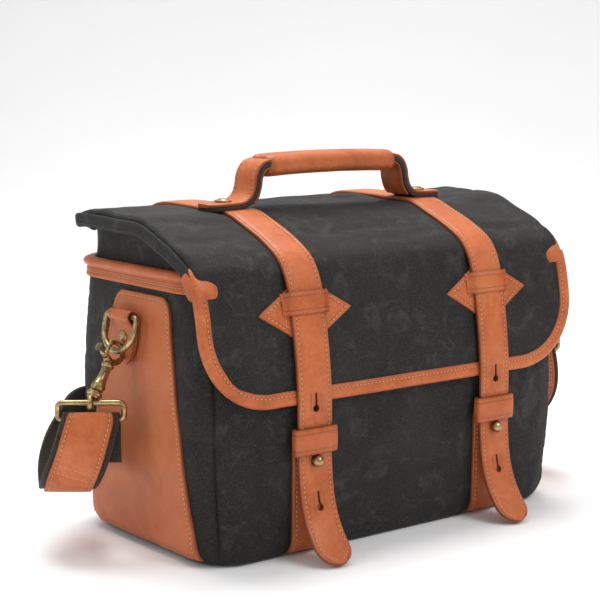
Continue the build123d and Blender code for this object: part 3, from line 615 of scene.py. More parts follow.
def ring(z, out=0.0, counts=(96, 42, 40), radius=CORNER_R):
    """Plan outline at a height, once round from the middle of the back: points and outward normals."""
    side, front, back = insets(z)
    a = HALF_W - side + out
    near, far = FRONT_Y + front - out, BACK_Y - back + out
    r = radius + min(out, 0) * 0.5
    nf, ns, nc = counts
    pts, nrm = [], []

    def run(p, q, n, direction):
        for t in np.linspace(0, 1, n, endpoint=False):
            pts.append((p[0] + t * (q[0] - p[0]), p[1] + t * (q[1] - p[1])))
            nrm.append(direction)

    def arc(cx, cy, a0, n):
        for t in np.linspace(0, 1, n, endpoint=False):
            g = math.radians(a0 + 90 * t)
            pts.append((cx + r * math.cos(g), cy + r * math.sin(g)))
            nrm.append((math.cos(g), math.sin(g)))

    run((0, far), (-a + r, far), nf // 2, (0, 1))
    arc(-a + r, far - r, 90, nc)
    run((-a, far - r), (-a, near + r), ns, (-1, 0))
    arc(-a + r, near + r, 180, nc)
    run((-a + r, near), (a - r, near), nf, (0, -1))
    arc(a - r, near + r, 270, nc)
    run((a, near + r), (a, far - r), ns, (1, 0))
    arc(a - r, far - r, 0, nc)
    run((a - r, far), (0, far), nf // 2, (0, 1))
    pts.append((0, far))
    nrm.append((0, 1))
    return np.array(pts), np.array(nrm)


def under_strap(x, spread=15.0):
    """1 under a strap, 0 well away from both."""
    return np.exp(-((np.abs(x) - STRAP_X) / spread) ** 6)


GUSSET_PLAN = [(-68, 0), (-56, 90), (-40, 176)], [(70, 0), (52, 80), (24, 176)]


def panel_edges(z):
    """Front and back edge of the leather side panel at a height."""
    front, back = (np.array(side, float) for side in GUSSET_PLAN)
    return np.interp(z, front[:, 1], front[:, 0]), np.interp(z, back[:, 1], back[:, 0])


def body_puff(p, n):
    """How far the canvas stands off its pattern: pillowed between straps, soft dents and creases."""
    x, y, z = p[..., 0], p[..., 1], p[..., 2]
    front = ease(-n[..., 1], 0.5, 0.95)
    back = ease(n[..., 1], 0.5, 0.95)
    side = ease(np.abs(n[..., 0]), 0.6, 0.95)
    free = 1 - under_strap(x) * np.maximum(front, back)
    height = np.sin(np.pi * np.clip((z - 8) / 100, 0, 1)) ** 0.8
    puff = (front * 2.0 * height + back * 1.6 * np.sin(np.pi * np.clip(z / 185, 0, 1))) * free
    low, high = panel_edges(z)
    bare = np.maximum(ease(-y, -low - 2, -low + 8), ease(y, high - 2, high + 8))
    puff += side * (1.4 * bare * np.sin(np.pi * np.clip(z / 180, 0, 1)))
    soft = wobble(p * np.array([1, 1, 0.55]), 34.0, 3.1) * 1.1 + wobble(p, 13.0, 7.7) * 0.35
    crease = -np.clip(wobble(p * np.array([0.5, 0.5, 1.6]), 22.0, 11.3) - 0.22, 0, 1) * 2.2
    quiet = np.clip(ease(z, 4, 20) * (1 - 0.7 * ease(z, 150, 176)), 0, 1)
    calm = np.where(side > 0.5, bare, 1.0) * free
    puff += (soft + crease) * quiet * calm
    near_flap = ease(z, 92, 108) * front
    return puff * (1 - near_flap) + np.minimum(puff, 0.3) * near_flap


def seam_groove(distance):
    """A sewn seam: a groove 1.5 deep between two low ridges."""
    d = np.abs(distance)
    return -1.5 * np.exp(-(d / 1.1) ** 2) + 0.55 * np.exp(-((d - 3.6) / 1.9) ** 2)


def body_canvas():
    """The bag's canvas as one shell: soft base, pillowed walls with seams, and an inner face."""
    zs = np.concatenate([BASE_Z + (BASE_TOP - BASE_Z) * (1 - np.cos(np.linspace(0, np.pi / 2, 9))),
                         np.arange(19.5, 190.0, 2.0 if FINE else 4.0), [190.6]])
    pts, uvs = [], []
    plan0, _ = ring(88.0)
    around = lengths(plan0)
    # seams between the front or back and the gussets, as distances round the bag
    nc, nf, ns = 40, 96, 42
    seams = [around[nf // 2 + nc // 2], around[nf // 2 + nc + ns + int(nc * 0.56)],
             around[nf // 2 + nc + ns + nc + nf + int(nc * 0.44)],
             around[nf // 2 + nc + ns + nc + nf + nc + ns + nc // 2]]
    for z in zs:
        xy, n = ring(z)
        p = np.column_stack([xy, np.full(len(xy), z)])
        nn = np.column_stack([n, np.zeros(len(n))])
        puff = body_puff(p, nn)
        for k, s in enumerate(seams):
            pucker = 1 + 0.25 * math.sin(z * 0.9 + k)
            puff = puff + seam_groove(around - s) * pucker * ease(z, 4, 16)
        p[:, 2] += 2.4 * under_strap(p[:, 0]) * (1 - ease(z, 1, 9))
        pts.append(p + nn * puff[:, None])
        uvs.append(np.column_stack([around, np.full(len(xy), z)]))
    pts, uvs = np.array(pts), np.array(uvs)
    b = Build()
    # underside: rings drawn in to the middle, the soft base reaching the floor
    inner = []
    middle = np.array([0.0, 0.0, 0.0])
    for share in (0.0, 0.2, 0.45, 0.62, 0.72, 0.82, 0.93):
        flat = pts[0].copy()
        flat = middle + (flat - middle) * np.array([share, share, 1.0])
        sag = (1 - ease(abs(flat[:, 0]), 50, 62)) * (1 - ease(abs(flat[:, 1]), 46, 60))
        flat[:, 2] = BASE_Z + 2.4 * under_strap(flat[:, 0]) - 0.7 * sag * (1 - under_strap(flat[:, 0]))
        inner.append(flat)
    outer = np.concatenate([np.array(inner), pts])
    uv = np.concatenate([np.array([r[:, :2] for r in inner]), uvs])
    b.grid(outer, uv)
    # inner face, a canvas thickness in
    inside = []
    for z in (190.6, 186.0, 120.0, 60.0, 24.0, 9.0, 7.0):
        xy, n = ring(min(z, 190.6), -2.2)
        inside.append(np.column_stack([xy, np.full(len(xy), z)]))
    for share in (0.5, 0.0):
        last = inside[6].copy()
        last[:, :2] *= share
        last[:, 2] = 6.0
        inside.append(last)
    wall = np.concatenate([pts[-1:], np.array(inside)])
    b.grid(wall, np.concatenate([uvs[-1:], np.array([np.column_stack([around,
                                                                      r[:, 2]]) for r in inside])]))
    return b.make("body_canvas", "bag", [CANVAS], merge=0.02,
                  replaces=("canvas_bottom", "canvas_front", "canvas_back", "gusset_left",
                            "gusset_right"))


def rim_band():
    """Leather round the mouth: stitched strip below, rolled bead above."""
    section = [  # height, distance out
        (179.4, 0.25), (179.2, 1.2), (179.6, 1.9), (180.5, 2.2), (182.0, 2.15), (182.6, 1.85), (183.0, 1.7),
        (183.4, 1.85), (184.0, 2.15), (185.4, 2.1), (186.1, 1.75), (186.8, 2.2), (187.8, 3.3), (189.2, 4.0),
        (190.8, 3.9), (192.2, 3.0), (193.1, 1.4), (193.3, -0.2), (192.8, -1.7), (191.4, -2.5), (188.5, -2.6),
        (187.2, -2.5), (187.0, 0.0),
    ]
    b = Build()
    cols = []
    ref, _ = ring(186.0)
    around = lengths(ref)
    for z, out in section:
        xy, n = ring(min(z, RIM_Z), out)
        wave = wobble(np.column_stack([xy, np.full(len(xy), 3.0)]), 26.0, 5.0) * 0.35
        cols.append(np.column_stack([xy + n * wave[:, None], np.full(len(xy), z) + wave * 0.6]))
    pts = np.transpose(np.array(cols), (1, 0, 2))
    uv = np.stack([np.broadcast_to(around[:, None], pts.shape[:2]),
                   np.broadcast_to(np.array(section)[None, :, 0], pts.shape[:2])], -1)
    # distance to the cut edge of each point; the stitch groove, near 3, is painted darker as shade
    edge = [0.2, 0.3, 1, 1.8, 2.4, 2.9, 3, 3.0, 3.2, 4, 1.2, 2.2, 5, 8, 9, 9, 9, 9, 9, 5, 4, 2, 1]
    b.grid(pts, uv, np.broadcast_to(np.array(edge, float)[None], pts.shape[:2]), wrap_v=True)
    xy, n = ring(183.0, 1.75)
    stitches(b, np.column_stack([xy, np.full(len(xy), 183.0)]), np.column_stack([n, np.zeros(len(n))]))
    return b.make("rim_band", "bag", [LEATHER, THREAD], merge=0.01, replaces=("rim_binding",))


def gusset_x(y, z, out):
    """Distance out from the middle of the gusset's surface at a depth and height."""
    side, front, back = insets(z)
    a = HALF_W - side + out
    near, far = FRONT_Y + front - out, BACK_Y - back + out
    past = np.maximum(near + CORNER_R - y, y - (far - CORNER_R))
    past = np.clip(past, 0, CORNER_R - 0.5)
    return a - CORNER_R + np.sqrt(CORNER_R ** 2 - past ** 2)


def slab(b, top, under, uv, edge=None):
    """A closed sheet from two grids of points: upper face, lower face and the border between them."""
    nu, nv = top.shape[:2]
    loop = [(i, 0) for i in range(nu)] + [(nu - 1, j) for j in range(1, nv)]
    loop += [(i, nv - 1) for i in range(nu - 2, -1, -1)] + [(0, j) for j in range(nv - 2, 0, -1)]
    border = np.array([[top[i, j], under[i, j]] for i, j in loop])
    b.grid(top, uv, edge)
    b.grid(border, None, None if edge is None else np.zeros(border.shape[:2]), wrap_u=True)
    b.grid(under, uv, edge)


def polygon_distance(a, b, outline):
    """Distance of each point to a closed outline."""
    best = np.full(np.shape(a), 1e9)
    for (x0, y0), (x1, y1) in zip(outline, np.roll(outline, -1, 0)):
        dx, dy = x1 - x0, y1 - y0
        t = np.clip(((a - x0) * dx + (b - y0) * dy) / max(dx * dx + dy * dy, 1e-9), 0, 1)
        best = np.minimum(best, np.hypot(a - x0 - t * dx, b - y0 - t * dy))
    return best


def crowd(low, high, n):
    """Samples from low to high, closer together near both ends."""
    clear = 4.5
    inner = np.linspace(0, 1, n)[1:-1]
    marks = np.array([0, 0.25, 0.6, 1.1, 1.8, 2.4, 2.8, 3.2, 3.8, clear])
    span = high - low
    if span < 2.4 * clear:
        t = np.linspace(0, 1, n + 18)
        return low + span * (0.5 - 0.5 * np.cos(np.pi * t))
    mids = low + clear + (span - 2 * clear) * inner
    return np.concatenate([low + marks, mids, (high - marks)[::-1]])


def patch(b, rows, spans, place, thick, groove, n):
    """A leather patch: for each row value, a span across; place(row, across, height) gives the point."""
    outline = [(r, s[0]) for r, s in zip(rows, spans)] + [(r, s[1]) for r, s in zip(rows, spans)][::-1]
    outline = np.array(outline, float)
    grid_b = np.array([crowd(s0, s1, n) for s0, s1 in spans])
    grid_a = np.broadcast_to(np.array(rows, float)[:, None], grid_b.shape)
    d = polygon_distance(grid_a, grid_b, outline)
    roll = thick * 0.42 * (1 - np.sqrt(np.clip(1 - (1 - np.clip(d / 1.1, 0, 1)) ** 2, 0, 1)))
    h = thick - roll - 0.3 * np.exp(-((d - groove) / 0.42) ** 2)
    top = place(grid_a, grid_b, h)
    under = place(grid_a, grid_b, np.zeros_like(h) + 0.02)
    slab(b, top, under, np.stack([grid_a, grid_b], -1), d)


def stitch_on(b, outline, place, height):
    """Stitches along an open outline given in a patch's own two directions."""
    line = np.array(outline, float)
    line, _ = resample(np.column_stack([line, np.zeros(len(line))]), 0.8)
    pts = place(line[:, 0], line[:, 1], np.full(len(line), height))
    up = unit(place(line[:, 0], line[:, 1], np.full(len(line), height + 1.0)) - pts)
    stitches(b, pts, up)


def side_panel(side):
    """Leather panel on the gusset, broad at the floor, sewn round its edge."""
    zs = np.unique(np.round(np.concatenate([crowd(4.5, 175.5, 56), [86.0, 84, 82]]), 3))
    spans = []
    for z in zs:
        low, high = panel_edges(z)
        round_low = 10 * (1 - math.sqrt(max(0, 1 - max(0, (z - 165.5) / 10.5) ** 2)))
        spans.append((low + round_low, high - round_low))

    def place(z, y, h):
        sway = 0.25 * wobble(np.stack([z, y, np.zeros_like(y)], -1), 30.0, 2.0 + side)
        x = gusset_x(y, z, 0.25 + sway) + h
        return np.stack([side * x, y, z], -1)

    b = Build()
    patch(b, zs, spans, place, 2.1, groove=2.8, n=30)
    trim = [(z, s[0] + 2.8) for z, s in zip(zs, spans) if 8 < z < 172.5]
    trim += [(172.8, s) for s in np.linspace(spans[-1][0] + 6, spans[-1][1] - 6, 5)]
    trim += [(z, s[1] - 2.8) for z, s in zip(zs, spans) if 8 < z < 172.5][::-1]
    stitch_on(b, trim, place, 1.95)
    name = SIDES[side]
    return b.make(f"side_panel_{name}_leather", "bag", [PANEL_LEATHER, THREAD], merge=0.01,
                  replaces=(f"side_panel_{name}",))


# ------------------------------------------------------------------ lid

LID_LINE, LID_S = curve(TOP_PATH + FRONT_PATH, 2.0)
LID_T = tangents(LID_LINE)
LID_N = np.column_stack([LID_T[:, 1], -LID_T[:, 0]])
FOLD_S = float(LID_S[np.argmin(np.hypot(LID_LINE[:, 0] + 80.5, LID_LINE[:, 1] - 191.0))])
FOLD_BLEND = ("lid_top", "lid_front", (0, -0.0765, 0.1965), (0, -0.0835, 0.184))


def lid_at(s, out):
    """Point (y, z) and normal on the lid's line, at a distance along it and off it."""
    y, z = (np.interp(s, LID_S, LID_LINE[:, k]) for k in (0, 1))
    ny, nz = (np.interp(s, LID_S, LID_N[:, k]) for k in (0, 1))
    return y + ny * out, z + nz * out, ny, nz


def front_s(z):
    """Distance along the lid's line where its front is at a height."""
    tail = LID_S > FOLD_S - 1
    return np.interp(-np.asarray(z, float), -LID_LINE[tail, 1], LID_S[tail])


def front_place(low):
    """Point maker for patches on the front of the lid: height and x, above an offset."""
    def place(z, x, h):
        y, zz, _, _ = lid_at(front_s(z), low + h)
        return np.stack([x, y, zz], -1)
    return place


def lid_half(s):
    """Half width of the lid's canvas along its line."""
    y, z = (np.interp(s, LID_S, LID_LINE[:, k]) for k in (0, 1))
    back = CORNER_R
    past = np.clip(y - (90.0 - back), 0, back - 1.0) * (1 - ease(s, 60, 70))
    top = 162.5 - (back - np.sqrt(back ** 2 - past ** 2))
    dz = np.clip(FLAP_LOW + FLAP_R - z, 0, FLAP_R - BINDING + 2)
    r = FLAP_R - BINDING + 2
    front = FLAP_HALF - BINDING + 2 - r + np.sqrt(np.clip(r * r - dz * dz, 0, None))
    share = ease(s, FOLD_S - 5, FOLD_S + 4)
    return top * (1 - share) + front * share


def lid_puff(x, s):
    """Soft creases and swell of the lid's canvas, quiet under the straps."""
    free = 1 - under_strap(x, 16.0)
    p = np.stack([x, s, np.zeros_like(x)], -1)
    soft = wobble(p * np.array([0.8, 1.25, 1]), 46.0, 1.9) * 1.9 + wobble(p, 17.0, 4.4) * 0.55
    across = -np.clip(wobble(p * np.array([0.45, 1.7, 1]), 24.0, 8.8) - 0.15, 0, 1) * 3.2
    top = 1 - ease(s, FOLD_S - 12, FOLD_S + 10)
    swell = 2.4 * top * ease(s, 18, 60) * free
    on_top = (soft + across) * free * (0.35 + 0.65 * top)
    calm = ease(s, 6, 26)
    low = 1 - ease(s, LID_S[-1] - 22, LID_S[-1] - 4)
    return (on_top * calm + swell) * (0.25 + 0.75 * low) + free * 0.9 * (1 - top) * low


def lid_canvas():
    """One cloth for the lid's top and front, shaped round the fold where the two bodies meet."""
    s_low = float(front_s(FLAP_LOW + BINDING - 2))
    step = 2.6 if FINE else 4.0
    ss = np.unique(np.concatenate([np.linspace(1.5, 24, 12), np.arange(26, s_low - 8, step),
                                   s_low - 8 + 8 * np.sin(np.linspace(0, np.pi / 2, 8))]))
    nb = 131 if FINE else 91
    t = np.linspace(-1, 1, nb)
    t = np.sign(t) * (1 - (1 - abs(t)) ** 1.12)
    half = lid_half(ss)
    x = t[None] * half[:, None]
    s = np.broadcast_to(ss[:, None], x.shape)
    rim = half[:, None] - abs(x)
    top = 1 - ease(s, FOLD_S - 4, FOLD_S + 4)
    out = -3.2 - 1.8 * ease(s, FOLD_S - 10, FOLD_S + 6) + lid_puff(x, s)
    out = out - top * 2.6 * (1 - np.sqrt(np.clip(1 - (1 - np.clip(rim / 3.6, 0, 1)) ** 2, 0, 1)))
    b = Build()
    uv = np.stack([x, s], -1)
    grids = []
    for drop in (0.0, 2.2):
        y, z, _, _ = lid_at(s, out - drop)
        grids.append(np.stack([x, y, z], -1))
    slab(b, grids[0], grids[1], uv)
    return b.make("lid_canvas", "lid_top", [CANVAS], sub=1 if FINE else 0, merge=0.01, sharp=60,
                  blend=FOLD_BLEND, replaces=("flap_top_canvas", "flap_front_canvas"))


def lid_hem(side):
    """Turned-under edge of the lid's top: a canvas band set off by a groove."""
    ss = np.arange(3.0, FOLD_S - 3.0, 2.5)
    half = lid_half(ss)
    y, z, ny, nz = lid_at(ss, -8.6)
    sway = ripple(ss, 22.0, 6.0 + side) * 0.9
    line = np.column_stack([side * (half + 0.6 + sway), y, z])
    up = np.column_stack([ss * 0, ny, nz])
    outw = unit(np.cross(up, tangents(line)))
    outw = outw * np.sign(side * outw[len(outw) // 2, 0])
    section = [(-4.9, -0.4), (-4.6, 0.9), (-3.4, 1.7), (-1.5, 1.95), (1.5, 2.0), (3.2, 1.8), (4.3, 1.2),
               (4.8, 0.2), (4.6, -0.8), (3.0, -1.1), (-3.0, -1.1), (-4.5, -1.0)]
    b = Build()
    widths = 0.5 + 0.5 * ease(ss, 3.0, 26.0)
    sweep(b, line, up, outw, section, widths=widths)
    spot = line + up * (-2.6 * widths)[:, None] + outw * 1.8
    stitches(b, spot, outw, radius=0.3)
    return b.make(f"lid_hem_{SIDES[side]}", "lid_top", [CANVAS, DARK_THREAD], sub=1)


def flap_edge():
    """Leather binding round the lid's front: rolled outer edge, stitched inner edge."""
    z_top = 189.0
    arc = np.radians(np.linspace(0, 90, 22))
    cz, cx = FLAP_LOW + FLAP_R, FLAP_HALF - FLAP_R
    left = [(-FLAP_HALF, z) for z in np.linspace(z_top, cz, 12)[:-1]]
    left += [(-cx - FLAP_R * math.cos(a), cz - FLAP_R * math.sin(a)) for a in arc]
    right = [(-x, z) for x, z in left[::-1]]
    pts2 = np.array(left + right)
    pts2, s = resample(np.column_stack([pts2, np.zeros(len(pts2))]), 2.0)
    x, z = pts2[:, 0], pts2[:, 1]
    y, zz, ny, nz = lid_at(front_s(z), -5.0)
    line = np.column_stack([x, y, zz])
    along = tangents(line)
    normal = np.column_stack([x * 0, ny, nz])
    inw = np.cross(normal, along)
    if np.dot(inw[len(inw) // 2], np.array([0, 0, 1.0])) < 0:
        inw = -inw
    inw = unit(inw)
    sway = ripple(s, 30.0, 9.0) * 0.5
    line = line + inw * sway[:, None] * 0.5 + normal * (wobble(line, 40.0, 2.2) * 0.5)[:, None]
    section = [(0.0, -1.1), (-0.05, 0.1), (0.35, 1.1), (1.2, 1.8), (2.6, 2.15), (4.2, 2.05), (5.4, 1.75),
               (6.2, 1.45), (6.6, 1.2), (7.0, 1.1), (7.4, 1.22), (7.9, 1.45), (8.8, 1.4), (9.6, 1.15),
               (10.0, 0.7), (10.0, 0.1), (9.9, -2.3), (9.0, -2.9), (5.0, -3.1), (1.6, -3.1), (0.5, -2.5)]
    # distance to the cut edge of each point; the underside of the rolled outer edge is given 3 and the
    # stitch groove lies near 3, so both are painted darker as shade
    edge = [3, 5, 8, 9, 9, 9, 6, 4, 3.1, 3, 2.9, 2.4, 1.4, 0.7, 0.3, 0, 0, 1, 5, 6, 3]
    b = Build()
    sweep(b, line, inw, normal, section, edge_of=edge)
    stitches(b, line + inw * 7.0 + normal * 1.25, normal)
    return b.make("flap_edge_leather", "lid_front", [LEATHER, THREAD],
                  replaces=("flap_binding",))


def corner_tab(side):
    """Leather piece folded over the lid's corner, where hem and binding meet."""
    ss = np.linspace(FOLD_S - 15, FOLD_S + 11, 26)
    y, z, ny, nz = lid_at(ss, -3.4)
    t = (ss - ss[0]) / (ss[-1] - ss[0])
    half = 9.6 - 3.2 * (2 * t - 1) ** 6
    x_mid = side * (FLAP_HALF - 9.6)
    line = np.column_stack([np.full(len(ss), x_mid), y, z])
    across = np.broadcast_to(np.array([float(side), 0, 0]), line.shape)
    normal = np.column_stack([ss * 0, ny, nz])
    section = [(-9.6, -1.6), (-9.3, -0.5), (-8.4, 0.1), (-7.0, 0.3), (-3.0, 0.9), (2.0, 1.1), (6.0, 0.5),
               (8.4, -0.9), (9.8, -3.2), (10.2, -6.0), (10.0, -8.6), (8.6, -8.8), (8.2, -6.0),
               (7.2, -3.6), (5.0, -2.2), (0, -1.2), (-8.4, -1.9)]
    edge = [0, 0.4, 1.4, 3, 8, 9, 9, 9, 7, 4, 0, 0, 4, 9, 9, 9, 1]
    b = Build()
    sweep(b, line, across, normal, section, widths=half / 9.6, edge_of=edge)
    name = SIDES[side]
    return b.make(f"corner_tab_{name}_leather", "lid_front", [LEATHER], sub=1,
                  blend=FOLD_BLEND, replaces=(f"corner_tab_{name}",))


# ------------------------------------------------------------------ straps

def keyhole_mesh(x, y, z, radius):
    """Cutter for a round hole with a slit above it, along Y."""
    gap = math.asin(0.75 / radius)
    ang = np.linspace(math.pi / 2 + gap, 2.5 * math.pi - gap, 27)
    disc = np.column_stack([x + radius * np.cos(ang), z + radius * np.sin(ang)])
    shape = np.concatenate([[(x + 0.6, z + radius + 8), (x - 0.6, z + radius + 8)], disc])
    n = len(shape)
    v = np.concatenate([np.column_stack([shape[:, 0], np.full(n, y + dy), shape[:, 1]]) for dy in (-8, 8)])
    faces = [tuple(range(n)), tuple(range(2 * n - 1, n - 1, -1))]
    faces += [(i, (i + 1) % n, n + (i + 1) % n, n + i) for i in range(n)]
    return plain_mesh([(v, faces)])


def strap_from(name, yz, x, body, replaces, tip=False, root=False, blend=None, sway=0.0, holes=(), wave=0.0):
    """A leather strap along a line in the YZ plane, its outer face on the line."""
    line2, s = curve(yz, 1.6)
    t = tangents(line2)
    n2 = np.column_stack([t[:, 1], -t[:, 0]])
    total = s[-1]
    scale = np.ones(len(s))
    half = STRAP_W / 2
    if tip:
        # closer samples round the tip
        extra = total - half * (1 - np.sin(np.linspace(0, np.pi / 2, 14)))
        keep = s < total - half
        new_s = np.concatenate([s[keep], extra])
        line2 = np.column_stack([np.interp(new_s, s, line2[:, k]) for k in (0, 1)])
        n2 = unit(np.column_stack([np.interp(new_s, s, n2[:, k]) for k in (0, 1)]))
        s = new_s
        d = np.clip(half - (total - s), 0, half)
        scale = np.sqrt(np.clip(1 - (d / half) ** 2, 0.0016, 1))
    if root:
        d = np.clip(half - s, 0, half)
        scale = np.minimum(scale, np.sqrt(np.clip(1 - (d / half) ** 2 * 0.96, 0.02, 1)))
    drift = sway * np.sin(s / 61.0 + x) - sway * math.sin(x)
    lift = wave * ripple(s, 40.0, x * 0.1)
    line = np.column_stack([x + drift, line2[:, 0], line2[:, 1]])
    across = np.broadcast_to(np.array([1.0, 0, 0]), line.shape)
    normal = np.column_stack([s * 0, n2])
    line = line + normal * lift[:, None]
    b = Build()
    sweep(b, line, across, normal, band_section(STRAP_W, STRAP_T, STRAP_SEAM, 0.35), widths=scale,
          along=s)
    cut = None
    if len(holes):
        meshes = []
        for z, r in holes:
            y = float(np.interp(-z, -line2[:, 1], line2[:, 0]))
            xx = float(np.interp(-z, -line2[:, 1], line[:, 0]))
            meshes.append(keyhole_mesh(xx, y, z, r))
        bm = bmesh.new()
        for m in meshes:
            bm.from_mesh(m)
        cut = bpy.data.meshes.new(name + "_holes")
        bm.to_mesh(cut)
        bm.free()
    b.make(name, body, [LEATHER, THREAD], cut=cut, blend=blend, replaces=replaces)
    sewn = Build()
    if tip:
        r = half - STRAP_SEAM
        stop = total - half
        straight = s <= stop
        left = line[straight] - across[straight] * r
        right = line[straight] + across[straight] * r
        ang = np.linspace(0, np.pi, 26)[1:-1]
        ends_s = stop + r * np.sin(ang)
        mid = np.column_stack([np.interp(ends_s, s, line[:, k]) for k in range(3)])
        round_end = mid - np.array([1.0, 0, 0]) * (r * np.cos(ang))[:, None]
        nn = unit(np.column_stack([np.interp(ends_s, s, normal[:, k]) for k in range(3)]))
        whole = np.concatenate([left, round_end, right[::-1]])
        norms = np.concatenate([normal[straight], nn, normal[straight][::-1]])
        stitches(sewn, whole - norms * 0.2, norms)
    else:
        for sign in (-1, 1):
            inner = line + across * (sign * (half - STRAP_SEAM)) * scale[:, None] - normal * 0.2
            stitches(sewn, inner, normal)
    sewn.make(name + "_stitches", body, [THREAD], blend=blend)


def lower_path():
    """Strap's outer face down the front, under the bag and up the back to the lid's hinge."""
    out = STRAP_T + 0.35
    front = [(FRONT_Y + insets(z)[1] - out, z) for z in (LOWER_TOP, 70, 50, 34, 20)]
    low = [(FRONT_Y + 2.0 - out, 9.0), (FRONT_Y + 3.4, 2.9), (FRONT_Y + 12, 0.8)]
    under = [(-40, 0.5), (0, 0.5), (40, 0.5)]
    low_back = [(BACK_Y - 20, 0.8), (BACK_Y - 10, 2.6), (BACK_Y - 3.5 + out * 0.7, 9.0)]
    back = [(BACK_Y - insets(z)[2] + out, z) for z in (20, 50, 90, 130, 165)]
    back += [(BACK_Y - insets(174)[2] + out + 0.4, 174), (BACK_Y - insets(181)[2] + out + 3.4, 181),
             (BACK_Y + 4.4, 192), (BACK_Y + 4.6, 206)]
    return front + low + under + low_back + back


def straps(side):
    """Over the lid, the free end below the patch, and the long stretch round the body."""
    name = SIDES[side]
    x = side * STRAP_X
    over = TOP_PATH + [p for p in FRONT_PATH if p[1] > 170] + [(-87.3, 168.6)]
    strap_from(f"strap_over_lid_{name}", over, x,
               "lid_top", (f"top_strap_{name}", f"mid_strap_{name}"), blend=FOLD_BLEND, wave=0.35)
    s_fix = ("lid_front", f"tail_{name}", (0, -0.0868, 0.1712), (0, -0.0886, 0.1632))
    tail = [(-86.3, 173.5)] + [p for p in TAIL_PATH if p[1] < 170]
    holes = [(STUD_Z, 4.3)] + [(z, 2.4) for z in SPARE_HOLES]
    strap_from(f"strap_end_{name}", tail, x, f"tail_{name}", (f"strap_tail_{name}",), tip=True,
               blend=s_fix, sway=0.9, holes=holes)
    strap_from(f"strap_below_{name}", lower_path(), x, "bag", (f"lower_strap_{name}",), root=True)


def diamond(side):
    """Diamond patch with its raised band, sewn to the front of the lid."""
    name = SIDES[side]
    x0, zc, w, h = side * STRAP_X, 166.0, 38.0, 23.5
    place = front_place(-4.9)
    xs = crowd(x0 - w, x0 + w, 44)
    spans = []
    for x in xs:
        u = abs(x - x0) / w
        reach = h * (1 - u)
        reach = math.sqrt(max(reach, 0) ** 2 + (1.9 * math.sqrt(max(0, 1 - u ** 6))) ** 2)
        reach = min(reach, h - 2.2 + 2.2 * min(1, u * 12))
        spans.append((zc - reach - 0.05, zc + reach + 0.05))

    def on(x, z, lift):
        return place(z, x, lift)

    b = Build()
    patch(b, xs, spans, on, 1.9, groove=3.2, n=14)
    for sign in (-1, 1):
        part = [(x0 + sign * 17.0, zc + 10.6), (x0 + sign * (w - 5.0), zc), (x0 + sign * 17.0, zc - 10.6)]
        stitch_on(b, part, on, 1.75)
        stitch_on(b, [(x0 + sign * 17.0, zc + 10.6), (x0 + sign * 17.0, zc - 10.6)], on, 1.75)
    # the band over the strap, puffed
    zs = np.linspace(164.2, 179.0, 15)
    xx = np.concatenate([np.linspace(-19.5, -14.6, 8), np.linspace(-13.4, 13.4, 17),
                         np.linspace(14.6, 19.5, 8)])
    lift = np.where(abs(xx) < 14.6, 5.4 + 0.9 * np.cos(np.clip(xx / 14.6, -1, 1) * np.pi / 2),
                    5.4 * (1 - ease(abs(xx), 14.4, 19.2)) + 2.0)
    v = (zs - zs[0]) / (zs[-1] - zs[0])
    bulge = 0.9 * np.sin(np.pi * v) ** 0.7
    top_h = lift[None] + bulge[:, None]
    zz, xg = np.meshgrid(zs, x0 + xx, indexing="ij")
    upper = place(zz, xg, top_h)
    lower = place(zz, xg, np.maximum(top_h - 1.7, 0.4) * 1.0)
    edge = np.minimum((zs - zs[0])[:, None], (zs[-1] - zs)[:, None]) + 0 * xg
    uv = np.stack([zz, xg], -1)
    slab(b, upper, lower, uv, edge)
    b.make(f"diamond_{name}", "lid_front", [LEATHER, THREAD], merge=0.01,
           replaces=(f"diamond_patch_{name}",))


def keeper(side):
    """Leather loop round the strap's free end."""
    name = SIDES[side]
    x0 = side * STRAP_X
    zs = np.concatenate([[71.8, 72.1], np.linspace(73, 88.4, 10), [89.2, 89.5]])
    v = (zs - zs[0]) / (zs[-1] - zs[0])
    swell = np.sin(np.pi * v) ** 0.6
    y = np.interp(-zs, [-110.0, -60.0], [-94.6, -95.2])
    half = 17.7
    ang = np.linspace(0, 2 * math.pi, 64, endpoint=False)
    cos, sin = np.cos(ang), np.sin(ang)
    px = np.sign(cos) * np.abs(cos) ** 0.36
    py = np.sign(sin) * np.abs(sin) ** 0.5
    outer, inner = [], []
    for k in range(len(zs)):
        shrink = 0.5 if 0 < k < len(zs) - 1 else 0.0
        rx = half - 0.45 + 0.45 * swell[k]
        front, back = 2.3 + 1.0 * swell[k] + shrink * 0.3, 4.8
        depth = np.where(py < 0, front * (1 + 0.22 * np.cos(np.clip(px, -1, 1) * np.pi / 2)), back)
        outer.append(np.column_stack([x0 + rx * px, y[k] + py * depth, np.full(64, zs[k])]))
        inner.append(np.column_stack([x0 + (rx - 1.7) * px, y[k] + py * (depth - 1.5),
                                      np.full(64, zs[k])]))
    outer, inner = np.array(outer), np.array(inner)
    edge = np.broadcast_to(np.minimum(zs - zs[0], zs[-1] - zs)[:, None] * 0.9, outer.shape[:2])
    b = Build()
    uv = np.stack([np.broadcast_to(zs[:, None], outer.shape[:2]),
                   np.broadcast_to(ang[None] * 12, outer.shape[:2])], -1)
    b.grid(outer, uv, edge, wrap_v=True)
    b.grid(inner, uv, edge, wrap_v=True)
    for k in (0, -1):
        b.grid(np.array([outer[k], inner[k]]), None, np.zeros((2, 64)), wrap_v=True)
    b.make(f"keeper_loop_{name}", f"keeper_{name}", [LEATHER], merge=0.01, sharp=50,
           replaces=(f"strap_keeper_{name}",))


